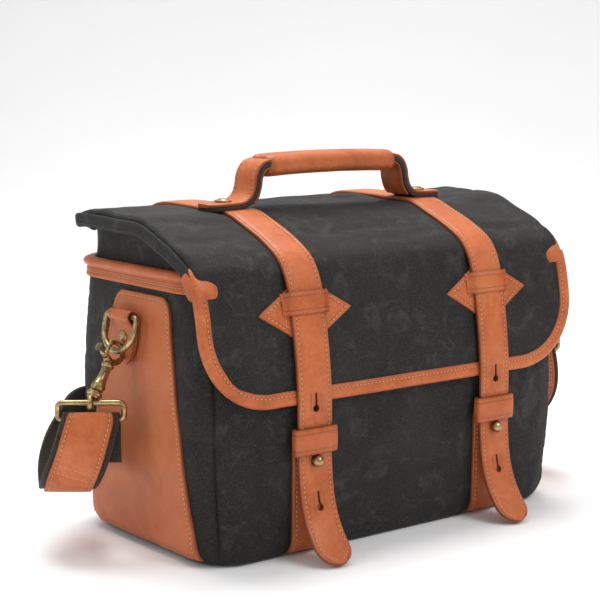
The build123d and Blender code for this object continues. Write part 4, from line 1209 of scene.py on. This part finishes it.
def stud(side):
    """Ball stud: washer, waisted neck and ball."""
    face = FRONT_Y - 3.3
    b = Build()
    ball = [(-8.4 + -4.0 * math.cos(a), 4.0 * math.sin(a)) for a in np.radians(np.linspace(2, 150, 18))]
    profile = ball + [(-4.2, 1.9), (-2.6, 1.8), (-1.4, 2.2), (-1.0, 3.2), (-0.8, 3.9), (-0.4, 4.1),
                      (0.0, 3.9), (0.1, 1.7), (2.8, 1.7)]
    lathe(b, (side * STRAP_X, face, STUD_Z), (0, 1, 0), profile)
    b.make(f"ball_stud_{SIDES[side]}", "bag", [BRASS], replaces=(f"stud_{SIDES[side]}",))


# ------------------------------------------------------------------ handle

def handle():
    """Two feet with a riser each in three layers, their rivets, and the rolled grip."""
    half_path = [(56.0, 260.2), (61.5, 258.8), (66.0, 255.0), (69.0, 249.0), (70.3, 242.0), (72.5, 236.4),
                 (77.5, 232.6), (85.0, 231.5), (95.0, 231.2), (104.5, 230.6)]
    for side, name in SIDES.items():
        line2, s = curve([(side * x, z) for x, z in half_path], 1.3)
        t = tangents(line2)
        n2 = np.column_stack([-t[:, 1], t[:, 0]]) * side
        total = s[-1]
        line = np.column_stack([line2[:, 0], s * 0, line2[:, 1]])
        normal = np.column_stack([n2[:, 0], s * 0, n2[:, 1]])
        across = np.broadcast_to(np.array([0.0, 1.0, 0.0]), line.shape)
        d = np.clip(12 - (total - s), 0, 12)
        round_end = np.sqrt(np.clip(1 - (d / 12) ** 2 * 0.75, 0.05, 1))
        riser = ("handle", "lid_top", (0, 0, 0.2425), (0, 0, 0.2335))
        b = Build()
        sweep(b, line, across, normal, band_section(25.0, 2.3, 3.0, 0.2), widths=round_end)
        for sign in (-1, 1):
            keep = s < total - 8
            stitches(b, (line + across * sign * 9.5 * round_end[:, None] - normal * 0.2)[keep],
                     normal[keep])
        b.make(f"handle_strap_{name}", "handle", [LEATHER, THREAD], blend=riser,
               replaces=(f"handle_foot_{name}",))
        b = Build()
        core = [(-12.3, -2.4), (-12.7, -3.7), (-12.2, -5.1), (-6, -5.3), (0, -5.3), (6, -5.3),
                (12.2, -5.1), (12.7, -3.7), (12.3, -2.4), (6, -2.35), (0, -2.35), (-6, -2.35)]
        keep = s < total - 0.8
        fit = round_end * (1.0 + 0.03 * ripple(s, 5.0, 2.0))
        sweep(b, line[keep], across[keep], normal[keep], core, widths=fit[keep])
        b.make(f"handle_filler_{name}", "handle", [CORE], blend=riser,
               replaces=("handle_core",) if side < 0 else ())
        b = Build()
        short = s < total - 30
        sweep(b, line[short] + normal[short] * -5.4, across[short], normal[short],
              band_section(24.0, 1.9, 0, 0.0))
        b.make(f"handle_underlay_{name}", "handle", [LEATHER], blend=riser,
               replaces=("handle_lining", "handle_band") if side < 0 else ())
        # rivet on the foot: a domed cap with a rolled rim
        b = Build()
        profile = [(-5.0, 1.7), (-0.4, 1.8), (-0.2, 5.6), (0.3, 6.0), (0.9, 5.9), (1.25, 5.3),
                   (1.2, 4.7), (1.35, 4.2), (1.9, 3.4), (2.25, 2.2), (2.4, 0.9), (2.42, 0.05)]
        lathe(b, (side * 88.0, 0, 231.6), (side * -0.03, 0, 1), profile)
        b.make(f"handle_rivet_cap_{name}", "lid_top", [BRASS],
               replaces=(f"handle_rivet_{name}",))
    # grip: leather wrapped round the band, two long rolls with a channel between them
    xs = np.concatenate([[-57.6, -57.3, -56.4, -54.5], np.linspace(-52, 52, 44),
                         [54.5, 56.4, 57.3, 57.6]])
    ang = np.linspace(0, 2 * math.pi, 72, endpoint=False)
    rings = []
    for x in xs:
        u = abs(x) / 57.6
        shrink = 1 - 0.30 * max(0.0, (u - 0.93) / 0.07) ** 2.2
        lift = 1.4 * (1 - u * u) - 0.6
        w, hgt = 14.0 * (0.98 + 0.02 * math.cos(u * 6)) * shrink, 8.0 * shrink
        cy = np.sign(np.cos(ang)) * np.abs(np.cos(ang)) ** 0.75 * w
        cz = np.sign(np.sin(ang)) * np.abs(np.sin(ang)) ** 0.72 * hgt
        on_top = np.clip(np.sin(ang), 0, 1)
        channel = -2.1 * np.exp(-((cy - 0.5) / 4.0) ** 4) * ease(on_top, 0.5, 0.95)
        ridge = 1.0 * np.exp(-((cy - 0.5) / 1.0) ** 2) * ease(on_top, 0.8, 0.98)
        fade = 1 - ease(u, 0.9, 0.99)
        cz = cz + (channel + ridge) * (0.35 + 0.65 * fade)
        dent = 0.25 * wobble(np.column_stack([np.full(72, x), cy, cz]), 16.0, 1.2)
        rings.append(np.column_stack([np.full(72, x), cy * (1 + dent * 0.02),
                                      255.6 + lift + cz + dent * 0.5]))
    pts = np.array(rings)
    uv = np.stack([np.broadcast_to(xs[:, None], pts.shape[:2]),
                   np.broadcast_to(ang[None] * 11, pts.shape[:2])], -1)
    edge = np.broadcast_to(((57.6 - abs(xs)) * 0.8)[:, None], pts.shape[:2])
    b = Build()
    b.grid(pts, uv, edge, wrap_v=True, caps=True)
    b.make("handle_grip_leather", "handle", [LEATHER], sub=1, replaces=("handle_grip",))


# ------------------------------------------------------------------ side hardware

HOOK_DIR = {-1: unit(np.array([-0.60, -0.20, -0.775])), 1: unit(np.array([0.45, -0.52, -0.725]))}
RING_LINE = {-1: unit(np.array([0.80, -0.60, 0.0])), 1: unit(np.array([0.83, -0.56, 0.0]))}
BOWL = {-1: np.array([-174.49, 3.70, 135.66]), 1: np.array([180.05, 3.22, 138.13])}
HOOK_REACH, WIRE_SEAT = 40.0, 1.5
BAR = {s: BOWL[s] + HOOK_DIR[s] * (HOOK_REACH - WIRE_SEAT) for s in SIDES}
MOUTH = (-48.0, 38.0)


def hook_axes(side):
    down = HOOK_DIR[side]
    along = unit(np.array([0, 1.0, 0]) - down * down[1])
    x = unit(np.cross(along, -down)) * side
    return x, np.cross(-down, x), -down


def ring_tab(side):
    """Leather loop that holds the D-ring: leaf-shaped front, rivet through both layers."""
    name = SIDES[side]
    face = 162.53 + 0.35
    r = RING_WIRE + 0.45 + 0.9
    back = [(face + 1.0, z) for z in (130.0, 140.0, 148.0)] + [(face + 1.2, 154.0)]
    turns = np.radians([200, 160, 120, 80, 40, 0, -35])
    loop = [(BAR_X + r * math.cos(a), RING_Z + r * math.sin(a)) for a in turns]
    front = [(face + 4.6, 154.0), (face + 3.3, 149.0), (face + 3.0, 142.0), (face + 3.0, 134.0),
             (face + 2.9, 126.6)]
    line2, s = curve(back + loop + front, 0.9)
    t = tangents(line2)
    n2 = np.column_stack([-t[:, 1], t[:, 0]])
    z = line2[:, 1]
    leaf = np.interp(z, [126.6, 128.0, 131.0, 136.0, 142.0, 150.0, 156.0, 170.0],
                     [1.2, 3.8, 6.8, 9.6, 11.8, 13.0, 13.0, 13.0])
    line = np.column_stack([side * line2[:, 0], np.full(len(s), RING_Y), z])
    normal = np.column_stack([side * n2[:, 0], s * 0, n2[:, 1]])
    across = np.broadcast_to(np.array([0.0, 1.0, 0.0]), line.shape)
    section = [(-13, 0), (-12.7, 0.6), (-12, 0.9), (0, 1.0), (12, 0.9), (12.7, 0.6), (13, 0),
               (12.7, -0.6), (12, -0.9), (0, -0.9), (-12, -0.9), (-12.7, -0.6)]
    b = Build()
    sweep(b, line, across, normal, section, widths=leaf / 13)
    b.make(f"ring_tab_{name}_leather", "bag", [LEATHER], replaces=(f"ring_tab_{name}",))
    b = Build()
    profile = [(-4.5, 1.7), (-0.2, 1.8), (-0.1, 3.7), (0.3, 4.1), (0.9, 3.9), (1.4, 3.0), (1.75, 1.6),
               (1.8, 0.05)]
    lathe(b, (side * (face + 4.1), RING_Y, 146.0), (side, 0, 0), profile)
    b.make(f"tab_rivet_cap_{name}", "bag", [BRASS], replaces=(f"tab_rivet_{name}",))


def rounded_loop(points, radii, n=8):
    """A closed flat loop with round corners, from its corner points."""
    pts = np.array(points, float)
    out = []
    for i, r in enumerate(radii):
        p, a, c = pts[i], pts[i - 1], pts[(i + 1) % len(pts)]
        u, w = (a - p) / np.linalg.norm(a - p), (c - p) / np.linalg.norm(c - p)
        half = math.acos(np.clip(np.dot(u, w), -1, 1)) / 2
        centre = p + (u + w) / np.linalg.norm(u + w) * r / math.sin(half)
        t0, t1 = p + u * r / math.tan(half), p + w * r / math.tan(half)
        for k in range(n + 1):
            g = k / n
            v0, v1 = t0 - centre, t1 - centre
            ang = math.acos(np.clip(np.dot(v0, v1) / r / r, -1, 1))
            v = (math.sin((1 - g) * ang) * v0 + math.sin(g * ang) * v1) / math.sin(ang)
            out.append(centre + v)
    return np.array(out)


def spread(loop, step):
    """A closed loop resampled evenly, without its end repeated."""
    again = np.concatenate([loop, loop[:1]])
    pts, _ = resample(again, step)
    return pts[:-1]


def d_ring(side):
    """D-ring: straight bar on top, round bow below."""
    name = SIDES[side]
    drop = 24.0
    loop = rounded_loop([(-19, 0), (19, 0), (19, -drop), (-19, -drop)], [3.2, 3.2, 17.6, 17.6], 16)
    tilt = math.radians(RING_TILT[side])
    pts = np.array([[side * (BAR_X - z * math.sin(tilt)), RING_Y + y, RING_Z + z * math.cos(tilt)] for y,
                    z in loop])
    b = Build()
    tube(b, spread(pts, 1.4), RING_WIRE, closed=True, sides=18)
    b.make(f"d_ring_{name}_brass", f"ring_{name}", [BRASS], replaces=(f"d_ring_{name}",))


def hook(side):
    """Snap hook: tapered bowl, sprung gate with thumb lever, turned body and swivel eye."""
    name = SIDES[side]
    ax, ay, az = hook_axes(side)
    origin = BOWL[side]

    def at(x, z, y=0.0):
        return origin + ax * x + ay * y + az * z

    b = Build()
    ang = np.radians(np.linspace(MOUTH[1] + 3, 360 + MOUTH[0] - 8, 44))
    bowl = np.array([at(CLAW_R * math.cos(a), CLAW_R * math.sin(a)) for a in ang])
    taper = np.interp(np.linspace(0, 1, 44), [0, 0.08, 0.5, 1], [1.25, 1.6, 1.9, 2.5])
    tube(b, bowl, taper)
    ball = [(-2.0 * math.cos(a), 2.0 * math.sin(a)) for a in np.radians(np.linspace(3, 177, 12))]
    lathe(b, bowl[0], ax, ball, sides=18)
    base = -CLAW_R + 1.2
    turned = [(0.0, 2.6), (2.0, 3.0), (3.4, 3.4), (4.0, 4.1), (4.8, 4.4), (5.6, 4.1), (6.2, 3.4),
              (8.5, 3.1), (13.5, 3.3), (17.5, 3.9), (19.0, 4.6), (20.0, 4.8), (21.4, 4.8), (22.4, 4.3),
              (23.6, 4.1), (24.4, 3.2)]
    lathe(b, at(0, base), -az, [(0.0, 0.4)] + turned + [(24.6, 0.4)])
    b.make(f"hook_body_{name}", f"hook_{name}", [BRASS], replaces=(f"hook_claw_{name}",))
    b = Build()
    a = math.radians(-36)
    px, pz = CLAW_R * math.cos(a), CLAW_R * math.sin(a)
    share = np.linspace(0, 1, 12)
    arm = np.array([at(px + t * (CLAW_R - 1.6 - px), pz + t * (2.9 - pz)) for t in share])
    tube(b, arm, np.interp(share, [0, 0.2, 0.9, 1], [1.35, 1.15, 1.0, 0.7]))
    lever = curve([(px - 0.5, pz - 1.0), (px + 2.4, pz - 1.0), (px + 5.0, pz + 0.2),
                   (px + 7.0, pz + 1.0)], 0.8)[0]
    tube(b, np.array([at(x, z) for x, z in lever]), np.interp(np.linspace(0, 1, len(lever)), [0, 1],
                                                              [1.5, 1.1]))
    knob = [(-1.0, 0.4), (-0.9, 2.0), (-0.3, 2.7), (0.5, 2.8), (1.1, 2.3), (1.3, 0.3)]
    lathe(b, at(px + 7.2, pz + 1.0), ax, knob, sides=24)
    pin = [(-2.6, 0.3), (-2.5, 1.3), (2.5, 1.3), (2.6, 0.3)]
    lathe(b, at(px - 0.3, pz - 1.0), ay, pin, sides=18)
    b.make(f"hook_lever_{name}", f"gate_{name}", [BRASS], replaces=(f"hook_gate_{name}",))
    b = Build()
    seat = base - 24.9
    collar = [(0.0, 0.4), (0.0, 4.4), (0.6, 5.1), (2.0, 5.2), (2.8, 4.7), (3.4, 3.6), (4.4, 3.3),
              (4.6, 0.4)]
    lathe(b, at(0, seat), -az, collar)
    eye_c = at(0, -(HOOK_REACH - WIRE_SEAT))
    line = RING_LINE[side]
    u = unit(-HOOK_DIR[side] - line * np.dot(-HOOK_DIR[side], line))
    w = np.cross(line, u)
    loop = np.array([eye_c + (SLIDE_WIRE + 1.9) * (u * math.cos(g) + w * math.sin(g))
                     for g in np.linspace(0, 2 * math.pi, 30, endpoint=False)])
    tube(b, loop, 1.75, closed=True)
    lathe(b, eye_c + u * 4.2, u, [(-0.5, 1.2), (0, 2.4), (2.0, 2.6), (4.6, 2.9), (4.9, 0.4)], sides=24)
    b.make(f"hook_swivel_eye_{name}", "shoulder_strap", [BRASS],
           replaces=(f"hook_swivel_{name}",))


SLIDE_WIRE, SLIDE_HALF, SLIDE_DROP = 1.9, 21.8, 11.0


def strap_ring(side):
    """Rectangular wire ring between the hook and the webbing."""
    name = SIDES[side]
    line, down = RING_LINE[side], np.array([0, 0, -1.0])
    loop = rounded_loop([(-SLIDE_HALF, 0), (SLIDE_HALF, 0), (SLIDE_HALF, SLIDE_DROP),
                         (-SLIDE_HALF, SLIDE_DROP)], [2.9] * 4)
    pts = np.array([BAR[side] + line * x + down * z for x, z in loop])
    b = Build()
    tube(b, spread(pts, 1.3), SLIDE_WIRE, closed=True, sides=18)
    b.make(f"slide_ring_{name}", "shoulder_strap", [BRASS], replaces=(f"strap_ring_{name}",))


# ------------------------------------------------------------------ shoulder strap

def lower_bar(side):
    return BAR[side] - np.array([0, 0, SLIDE_DROP])


def outward(side):
    line = RING_LINE[side]
    return np.array([line[1], -line[0], 0.0])


WRAP_R = SLIDE_WIRE + 0.35 + WEB_T / 2


def wrap(side):
    """Webbing up behind the ring's lower bar and over it: place and width direction of each station."""
    centre, out, width = lower_bar(side), outward(side), RING_LINE[side]
    rows = [(*(centre - out * WRAP_R - np.array([0, 0, d])), *width) for d in (30.0, 15.0)]
    for angle in range(0, 181, 30):
        a = math.radians(angle)
        spot = centre - out * (WRAP_R * math.cos(a)) + np.array([0, 0, WRAP_R * math.sin(a)])
        rows.append((*spot, *width))
    return rows


def half_turn(x, y, way):
    """Webbing standing on its edge, turning back behind the bag."""
    rows = []
    for angle in (-60, -30, 0, 30, 60):
        a = math.radians(angle)
        rows.append((x + way * 13 * math.cos(a), y + 13 * (1 + math.sin(a)), 19.5, 0, 0, -1))
    return rows


left_side = wrap(-1) + [
    (-204, -7.5, 84, .80, -.60, 0), (-207.5, -3.5, 68, .80, -.60, 0), (-209, 5, 54, .80, -.60, 0),
    (-205.5, 16, 46, .80, -.60, 0), (-200, 27, 46, .80, -.60, -.10), (-195, 39, 52, .72, -.52, -.45),
    (-188, 52, 60, .50, -.35, -.80), (-177, 67, 68, .22, -.15, -.96), (-163, 83, 75, .05, -.03, -1),
    (-145, 94, 76, 0, 0, -1),
]
right_bar = lower_bar(1) + outward(1) * WRAP_R
right_side = wrap(1) + [(right_bar[0] + dx, right_bar[1] + dy, z, .83, -.56, 0)
                        for dx, dy, z in ((3, -1, 82), (5, 2, 67), (4, 10, 54), (4, 22, 47))]
right_side += [
    (201, 18, 46, .86, -.40, .10), (200, 33, 48, .78, -.30, .45), (196, 49, 53, .50, -.20, .80),
    (187, 67, 58, .20, -.08, .97), (173, 84, 58, .05, 0, 1), (154, 99, 52, 0, 0, 1),
]
behind = [(-115, 100, 66, 0, 0, -1), (-70, 101, 44, 0, 0, -1), (-20, 101, 26, 0, 0, -1),
          (40, 100, 19.5, 0, 0, -1), (95, 100, 19.5, 0, 0, -1)] + half_turn(100, 100, 1)
behind += [(90, 126, 19.5, 0, 0, -1), (0, 127, 19.5, 0, 0, -1),
           (-75, 126, 19.5, 0, 0, -1)] + half_turn(-80, 126, -1)
behind += [(-70, 152, 19.5, 0, 0, -1), (10, 153, 21.5, 0, 0, -1), (80, 144, 30, 0, 0, -1),
           (125, 128, 42, 0, 0, -1)]


def flipped(rows):
    """Stations in the other order, keeping the same face outwards."""
    return [(*r[:3], -r[3], -r[4], -r[5]) for r in reversed(rows)]


def web_frames(rows, step):
    """Smooth line, width direction, face direction and distance from stations."""
    full, s = curve(rows, step)
    line, across = full[:, :3], full[:, 3:6]
    t = tangents(line)
    across = unit(across - t * np.sum(across * t, 1, keepdims=True))
    return line, across, np.cross(t, across), s


def shoulder_strap():
    """Ribbed webbing from ring to ring, with a sewn leather face at each end."""
    line, across, normal, s = web_frames(left_side + behind + flipped(right_side), 2.2)
    h, t = WEB_W / 2, WEB_T / 2
    ribs = [(x, t + 0.12 * math.cos(k * math.pi)) for k,
            x in enumerate(np.linspace(-h + 1.6, h - 1.6, 25))]
    section = [(-h, 0), (-h + 0.25, 0.6 * t), (-h + 0.9, t)] + ribs
    section += [(h - 0.9, t), (h - 0.25, 0.6 * t), (h, 0)]
    section += [(h - 0.25, -0.6 * t), (h - 0.9, -t)] + [(x, -y) for x, y in reversed(ribs)]
    section += [(-h + 0.9, -t), (-h + 0.25, -0.6 * t)]
    b = Build()
    sweep(b, line, across, normal, section)
    b.make("shoulder_webbing_woven", "shoulder_strap", [WEB], replaces=("shoulder_webbing",))
    parts = {-1: left_side[6:16], 1: flipped(right_side[6:15])}
    for side, rows in parts.items():
        name = SIDES[side]
        line, across, normal, s = web_frames(rows, 1.8)
        face = WEB_T / 2 + 0.35
        b = Build()
        end = np.minimum(s, s[-1] - s)
        width = np.interp(end, [0, 1.2, 3.0], [0.90, 0.97, 1.0])
        base = band_section(OVERLAY_W, 1.8, 2.8, 0.3, top=1.8)
        sweep(b, line + normal * face, across, normal, base, widths=width)
        for sign in (-1, 1):
            stitches(b, line + across * sign * (OVERLAY_W / 2 - 2.8) + normal * (face + 1.6), normal)
        for frac in (0.36, 0.40):
            k = int(frac * len(s)) if side < 0 else int((1 - frac) * len(s))
            xs = np.linspace(-OVERLAY_W / 2 + 2.8, OVERLAY_W / 2 - 2.8, 40)
            row = line[k] + across[k] * xs[:, None] + normal[k] * (face + 1.95)
            stitches(b, row, np.broadcast_to(normal[k], row.shape))
        b.make(f"strap_overlay_{name}", "shoulder_strap", [LEATHER, THREAD],
               replaces=(f"strap_leather_{name}",))


# ------------------------------------------------------------------ inside

def collar():
    """Canvas collar inside the mouth, up under the lid."""
    xy, n = ring(RIM_Z, -3.0, counts=(96, 42, 24), radius=26)
    top = np.interp(xy[:, 1], LID_LINE[::-1, 0], LID_LINE[::-1, 1]) - 8.6
    top = np.minimum(top, 219.0)
    back = ease(xy[:, 1], 62, 78)
    top = top * (1 - back) + np.minimum(top, 206.0) * back
    rows, uvs = [], []
    ref = lengths(xy)
    for t in np.linspace(0, 1, 14):
        z = 184.0 + t * (top - 184.0)
        p = np.column_stack([xy, z])
        soft = wobble(p * np.array([1, 1, 0.6]), 30.0, 2.7) * 1.3 - 0.9 * np.sin(np.pi * t)
        soft = soft * min(1.0, 2.2 * t)
        lean = -0.045 * (z - 188.0).clip(0)
        rows.append(np.column_stack([xy + n * (np.minimum(soft, 0.2) + lean)[:, None], z]))
        uvs.append(np.column_stack([ref, z]))
    outer = np.array(rows)
    nn = np.column_stack([n, np.zeros(len(n))])
    inner = outer - nn[None] * 1.9
    b = Build()
    b.grid(outer, np.array(uvs))
    b.grid(inner, np.array(uvs))
    for k in (0, -1):
        b.grid(np.array([outer[k], inner[k]]), np.array([uvs[k], uvs[k]]))
    return b.make("collar_canvas", "bag", [CANVAS], sub=1, merge=0.02, sharp=60,
                  replaces=("collar",))


def liner():
    """Padded insert: soft wall and floor with a rounded top edge."""
    base_out, thick = -5.1, 6.8
    rows, uvs = [], []
    zs_out = [8.0, 12.0, 60.0, 120.0, 176.0, 181.5]
    profile = [(z, base_out) for z in zs_out]
    profile += [(183.4, base_out - 1.0), (184.0, base_out - thick / 2), (183.2, base_out - thick + 1.0),
                (181.0, base_out - thick)]
    profile += [(z, base_out - thick - 0.4 * math.sin(z / 28.0)) for z in np.arange(172.0, 24.0, -8.0)]
    profile += [(17.0, base_out - thick - 1.0), (13.6, base_out - thick - 6.0)]
    for z, out in profile:
        xy, _ = ring(min(max(z, BASE_TOP), RIM_Z), out, counts=(96, 42, 16))
        rows.append(np.column_stack([xy, np.full(len(xy), z)]))
        uvs.append(np.column_stack([np.linspace(0, 900, len(xy)), np.full(len(xy), z + out)]))
    floor_in, floor_out = rows[-1], rows[0]
    for share in (0.8, 0.5, 0.2, 0.0):
        rows.append(np.column_stack([floor_in[:, :2] * share,
                                     np.full(len(floor_in), 13.2 + 0.8 * (1 - share))]))
        uvs.append(rows[-1][:, :2])
    under = [np.column_stack([floor_out[:, :2] * share, np.full(len(floor_out), 6.2)])
             for share in (0.0, 0.5, 0.97)]
    rows = under + rows
    uvs = [r[:, :2] for r in under] + uvs
    b = Build()
    b.grid(np.array(rows), np.array(uvs))
    obj = b.make("liner_padding", "bag", [LINING], merge=0.02, sharp=70,
                 replaces=("padded_liner",))
    return obj


def pad_mesh(side):
    """Divider's closed form: its middle, its puffed half thickness and its grid of points."""
    lo, hi = (np.array(c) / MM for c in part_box(f"divider_{SIDES[side]}"))
    zs = np.concatenate([[lo[2] + 0.4], np.linspace(lo[2] + 2, hi[2] - 2, 34), [hi[2] - 0.4]])
    front = np.interp(zs, [17, 69, 109, 150, 192], [-73.8, -74.6, -74.6, -70.8, -55.0])
    ts = np.concatenate([[0, 0.012], np.linspace(0.03, 0.97, 40), [0.988, 1]])
    y = front[:, None] + 1.2 + (hi[1] - 1.2 - front[:, None] - 1.2) * ts[None]
    z = np.broadcast_to(zs[:, None], y.shape)
    d = np.minimum(np.minimum(y - y[:, :1], y[:, -1:] - y), np.minimum(z - zs[0], zs[-1] - z))
    half = (hi[0] - lo[0]) / 2 - 0.25
    puff = half * np.sqrt(np.clip(1 - (1 - np.clip(d / 3.2, 0, 1)) ** 2, 0.01, 1))
    mid = (lo[0] + hi[0]) / 2
    return mid, puff, y, z


def divider(side):
    """Padded divider with a sewn edge all round."""
    name = SIDES[side]
    mid, puff, y, z = pad_mesh(side)
    d = np.minimum(np.minimum(y - y[:, :1], y[:, -1:] - y), np.minimum(z - z[0, 0], z[-1, 0] - z))
    groove = 0.7 * np.exp(-((d - 6.0) / 1.0) ** 2)
    faces = [np.stack([mid + sign * (puff - groove), y, z], -1) for sign in (-1, 1)]
    b = Build()
    slab(b, faces[0], faces[1], np.stack([y, z], -1))
    obj = b.make(f"divider_pad_{name}", f"divider_{name}", [LINING], sub=1, merge=0.01,
                 sharp=70, replaces=(f"divider_{name}",))


# ------------------------------------------------------------------ stage, light, camera

CAMERA_PLACE = (-0.7082, -0.9035, 0.3259)        # metres
CAMERA_YAW, CAMERA_DOWN = 38.09, 10.41           # degrees to the left of the front, and downwards
CAMERA_LENS, CAMERA_SHIFT = 95.64, (-0.0399, 0.0910)


def stage():
    """Pale paper: a floor that curves up into a backdrop, turned to face the camera."""
    profile = [(-6.0, 0.0), (1.2, 0.0)]
    profile += [(1.2 + 1.2 * math.sin(a), 1.2 - 1.2 * math.cos(a))
                for a in np.radians(np.linspace(10, 90, 14))]
    profile += [(2.4, 5.0)]
    turn = math.radians(-CAMERA_YAW)
    verts, faces = [], []
    for y, z in profile:
        for x in (-6.0, 6.0):
            verts.append((x * math.cos(turn) - y * math.sin(turn),
                          x * math.sin(turn) + y * math.cos(turn), z))
    for i in range(len(profile) - 1):
        faces.append((2 * i, 2 * i + 1, 2 * i + 3, 2 * i + 2))
    mesh = bpy.data.meshes.new("floor_and_backdrop")
    mesh.from_pydata(verts, [], faces)
    for f in mesh.polygons:
        f.use_smooth = True
    mat, tree, shader = material("pale_paper")
    obj = node(tree, "TexCoord").outputs["Object"]
    tone = noise_at(tree, obj, 3.0, 2.0)
    tree.links.new(ramp(tree, tone, [(0.3, (0.90, 0.90, 0.90)), (0.7, (0.92, 0.92, 0.92))]),
                   shader.inputs["Base Color"])
    shader.inputs["Roughness"].default_value = 0.9
    mesh.materials.append(mat)
    floor = bpy.data.objects.new("floor_and_backdrop", mesh)
    bpy.context.scene.collection.objects.link(floor)


def area_light(name, place, target, size, power):
    data = bpy.data.lights.new(name, "AREA")
    data.shape, data.size, data.size_y = "RECTANGLE", size[0], size[1]
    data.energy = power
    obj = bpy.data.objects.new(name, data)
    obj.location = place
    obj.rotation_euler = (Vector(target) - Vector(place)).to_track_quat("-Z", "Y").to_euler()
    bpy.context.scene.collection.objects.link(obj)


def lights_and_camera():
    """Soft studio light and the photograph's viewing angle."""
    scene = bpy.context.scene
    world = bpy.data.worlds.new("studio")
    scene.world = world
    world.use_nodes = True
    world.node_tree.nodes["Background"].inputs[0].default_value = (1, 1, 1, 1)
    world.node_tree.nodes["Background"].inputs[1].default_value = 0.55
    area_light("key", (0.55, -1.35, 1.7), (0, 0, 0.12), (1.0, 0.9), 16)
    area_light("top", (0.1, 0.5, 1.7), (0, 0.0, 0.15), (1.2, 0.8), 30)
    area_light("rim_left", (-1.5, 0.2, 0.9), (-0.1, 0, 0.12), (0.5, 1.0), 4)
    cam = bpy.data.cameras.new("camera")
    cam.lens, cam.sensor_width = CAMERA_LENS, 36.0
    cam.shift_x, cam.shift_y = CAMERA_SHIFT
    cam.clip_start, cam.clip_end = 0.05, 50.0
    obj = bpy.data.objects.new("camera", cam)
    obj.location = CAMERA_PLACE
    obj.rotation_euler = (math.radians(90 - CAMERA_DOWN), 0, math.radians(-CAMERA_YAW))
    scene.collection.objects.link(obj)
    scene.camera = obj
    scene.view_settings.view_transform = "Standard"


# ------------------------------------------------------------------ everything

body_canvas()
rim_band()
collar()
liner()
lid_canvas()
flap_edge()
handle()
shoulder_strap()
for way in SIDES:
    side_panel(way)
    lid_hem(way)
    corner_tab(way)
    straps(way)
    diamond(way)
    keeper(way)
    stud(way)
    ring_tab(way)
    d_ring(way)
    hook(way)
    strap_ring(way)
    divider(way)
stage()
lights_and_camera()

left = [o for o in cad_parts.values() if not o.hide_render]
for o in left:
    print("CAD node still showing:", o.name)
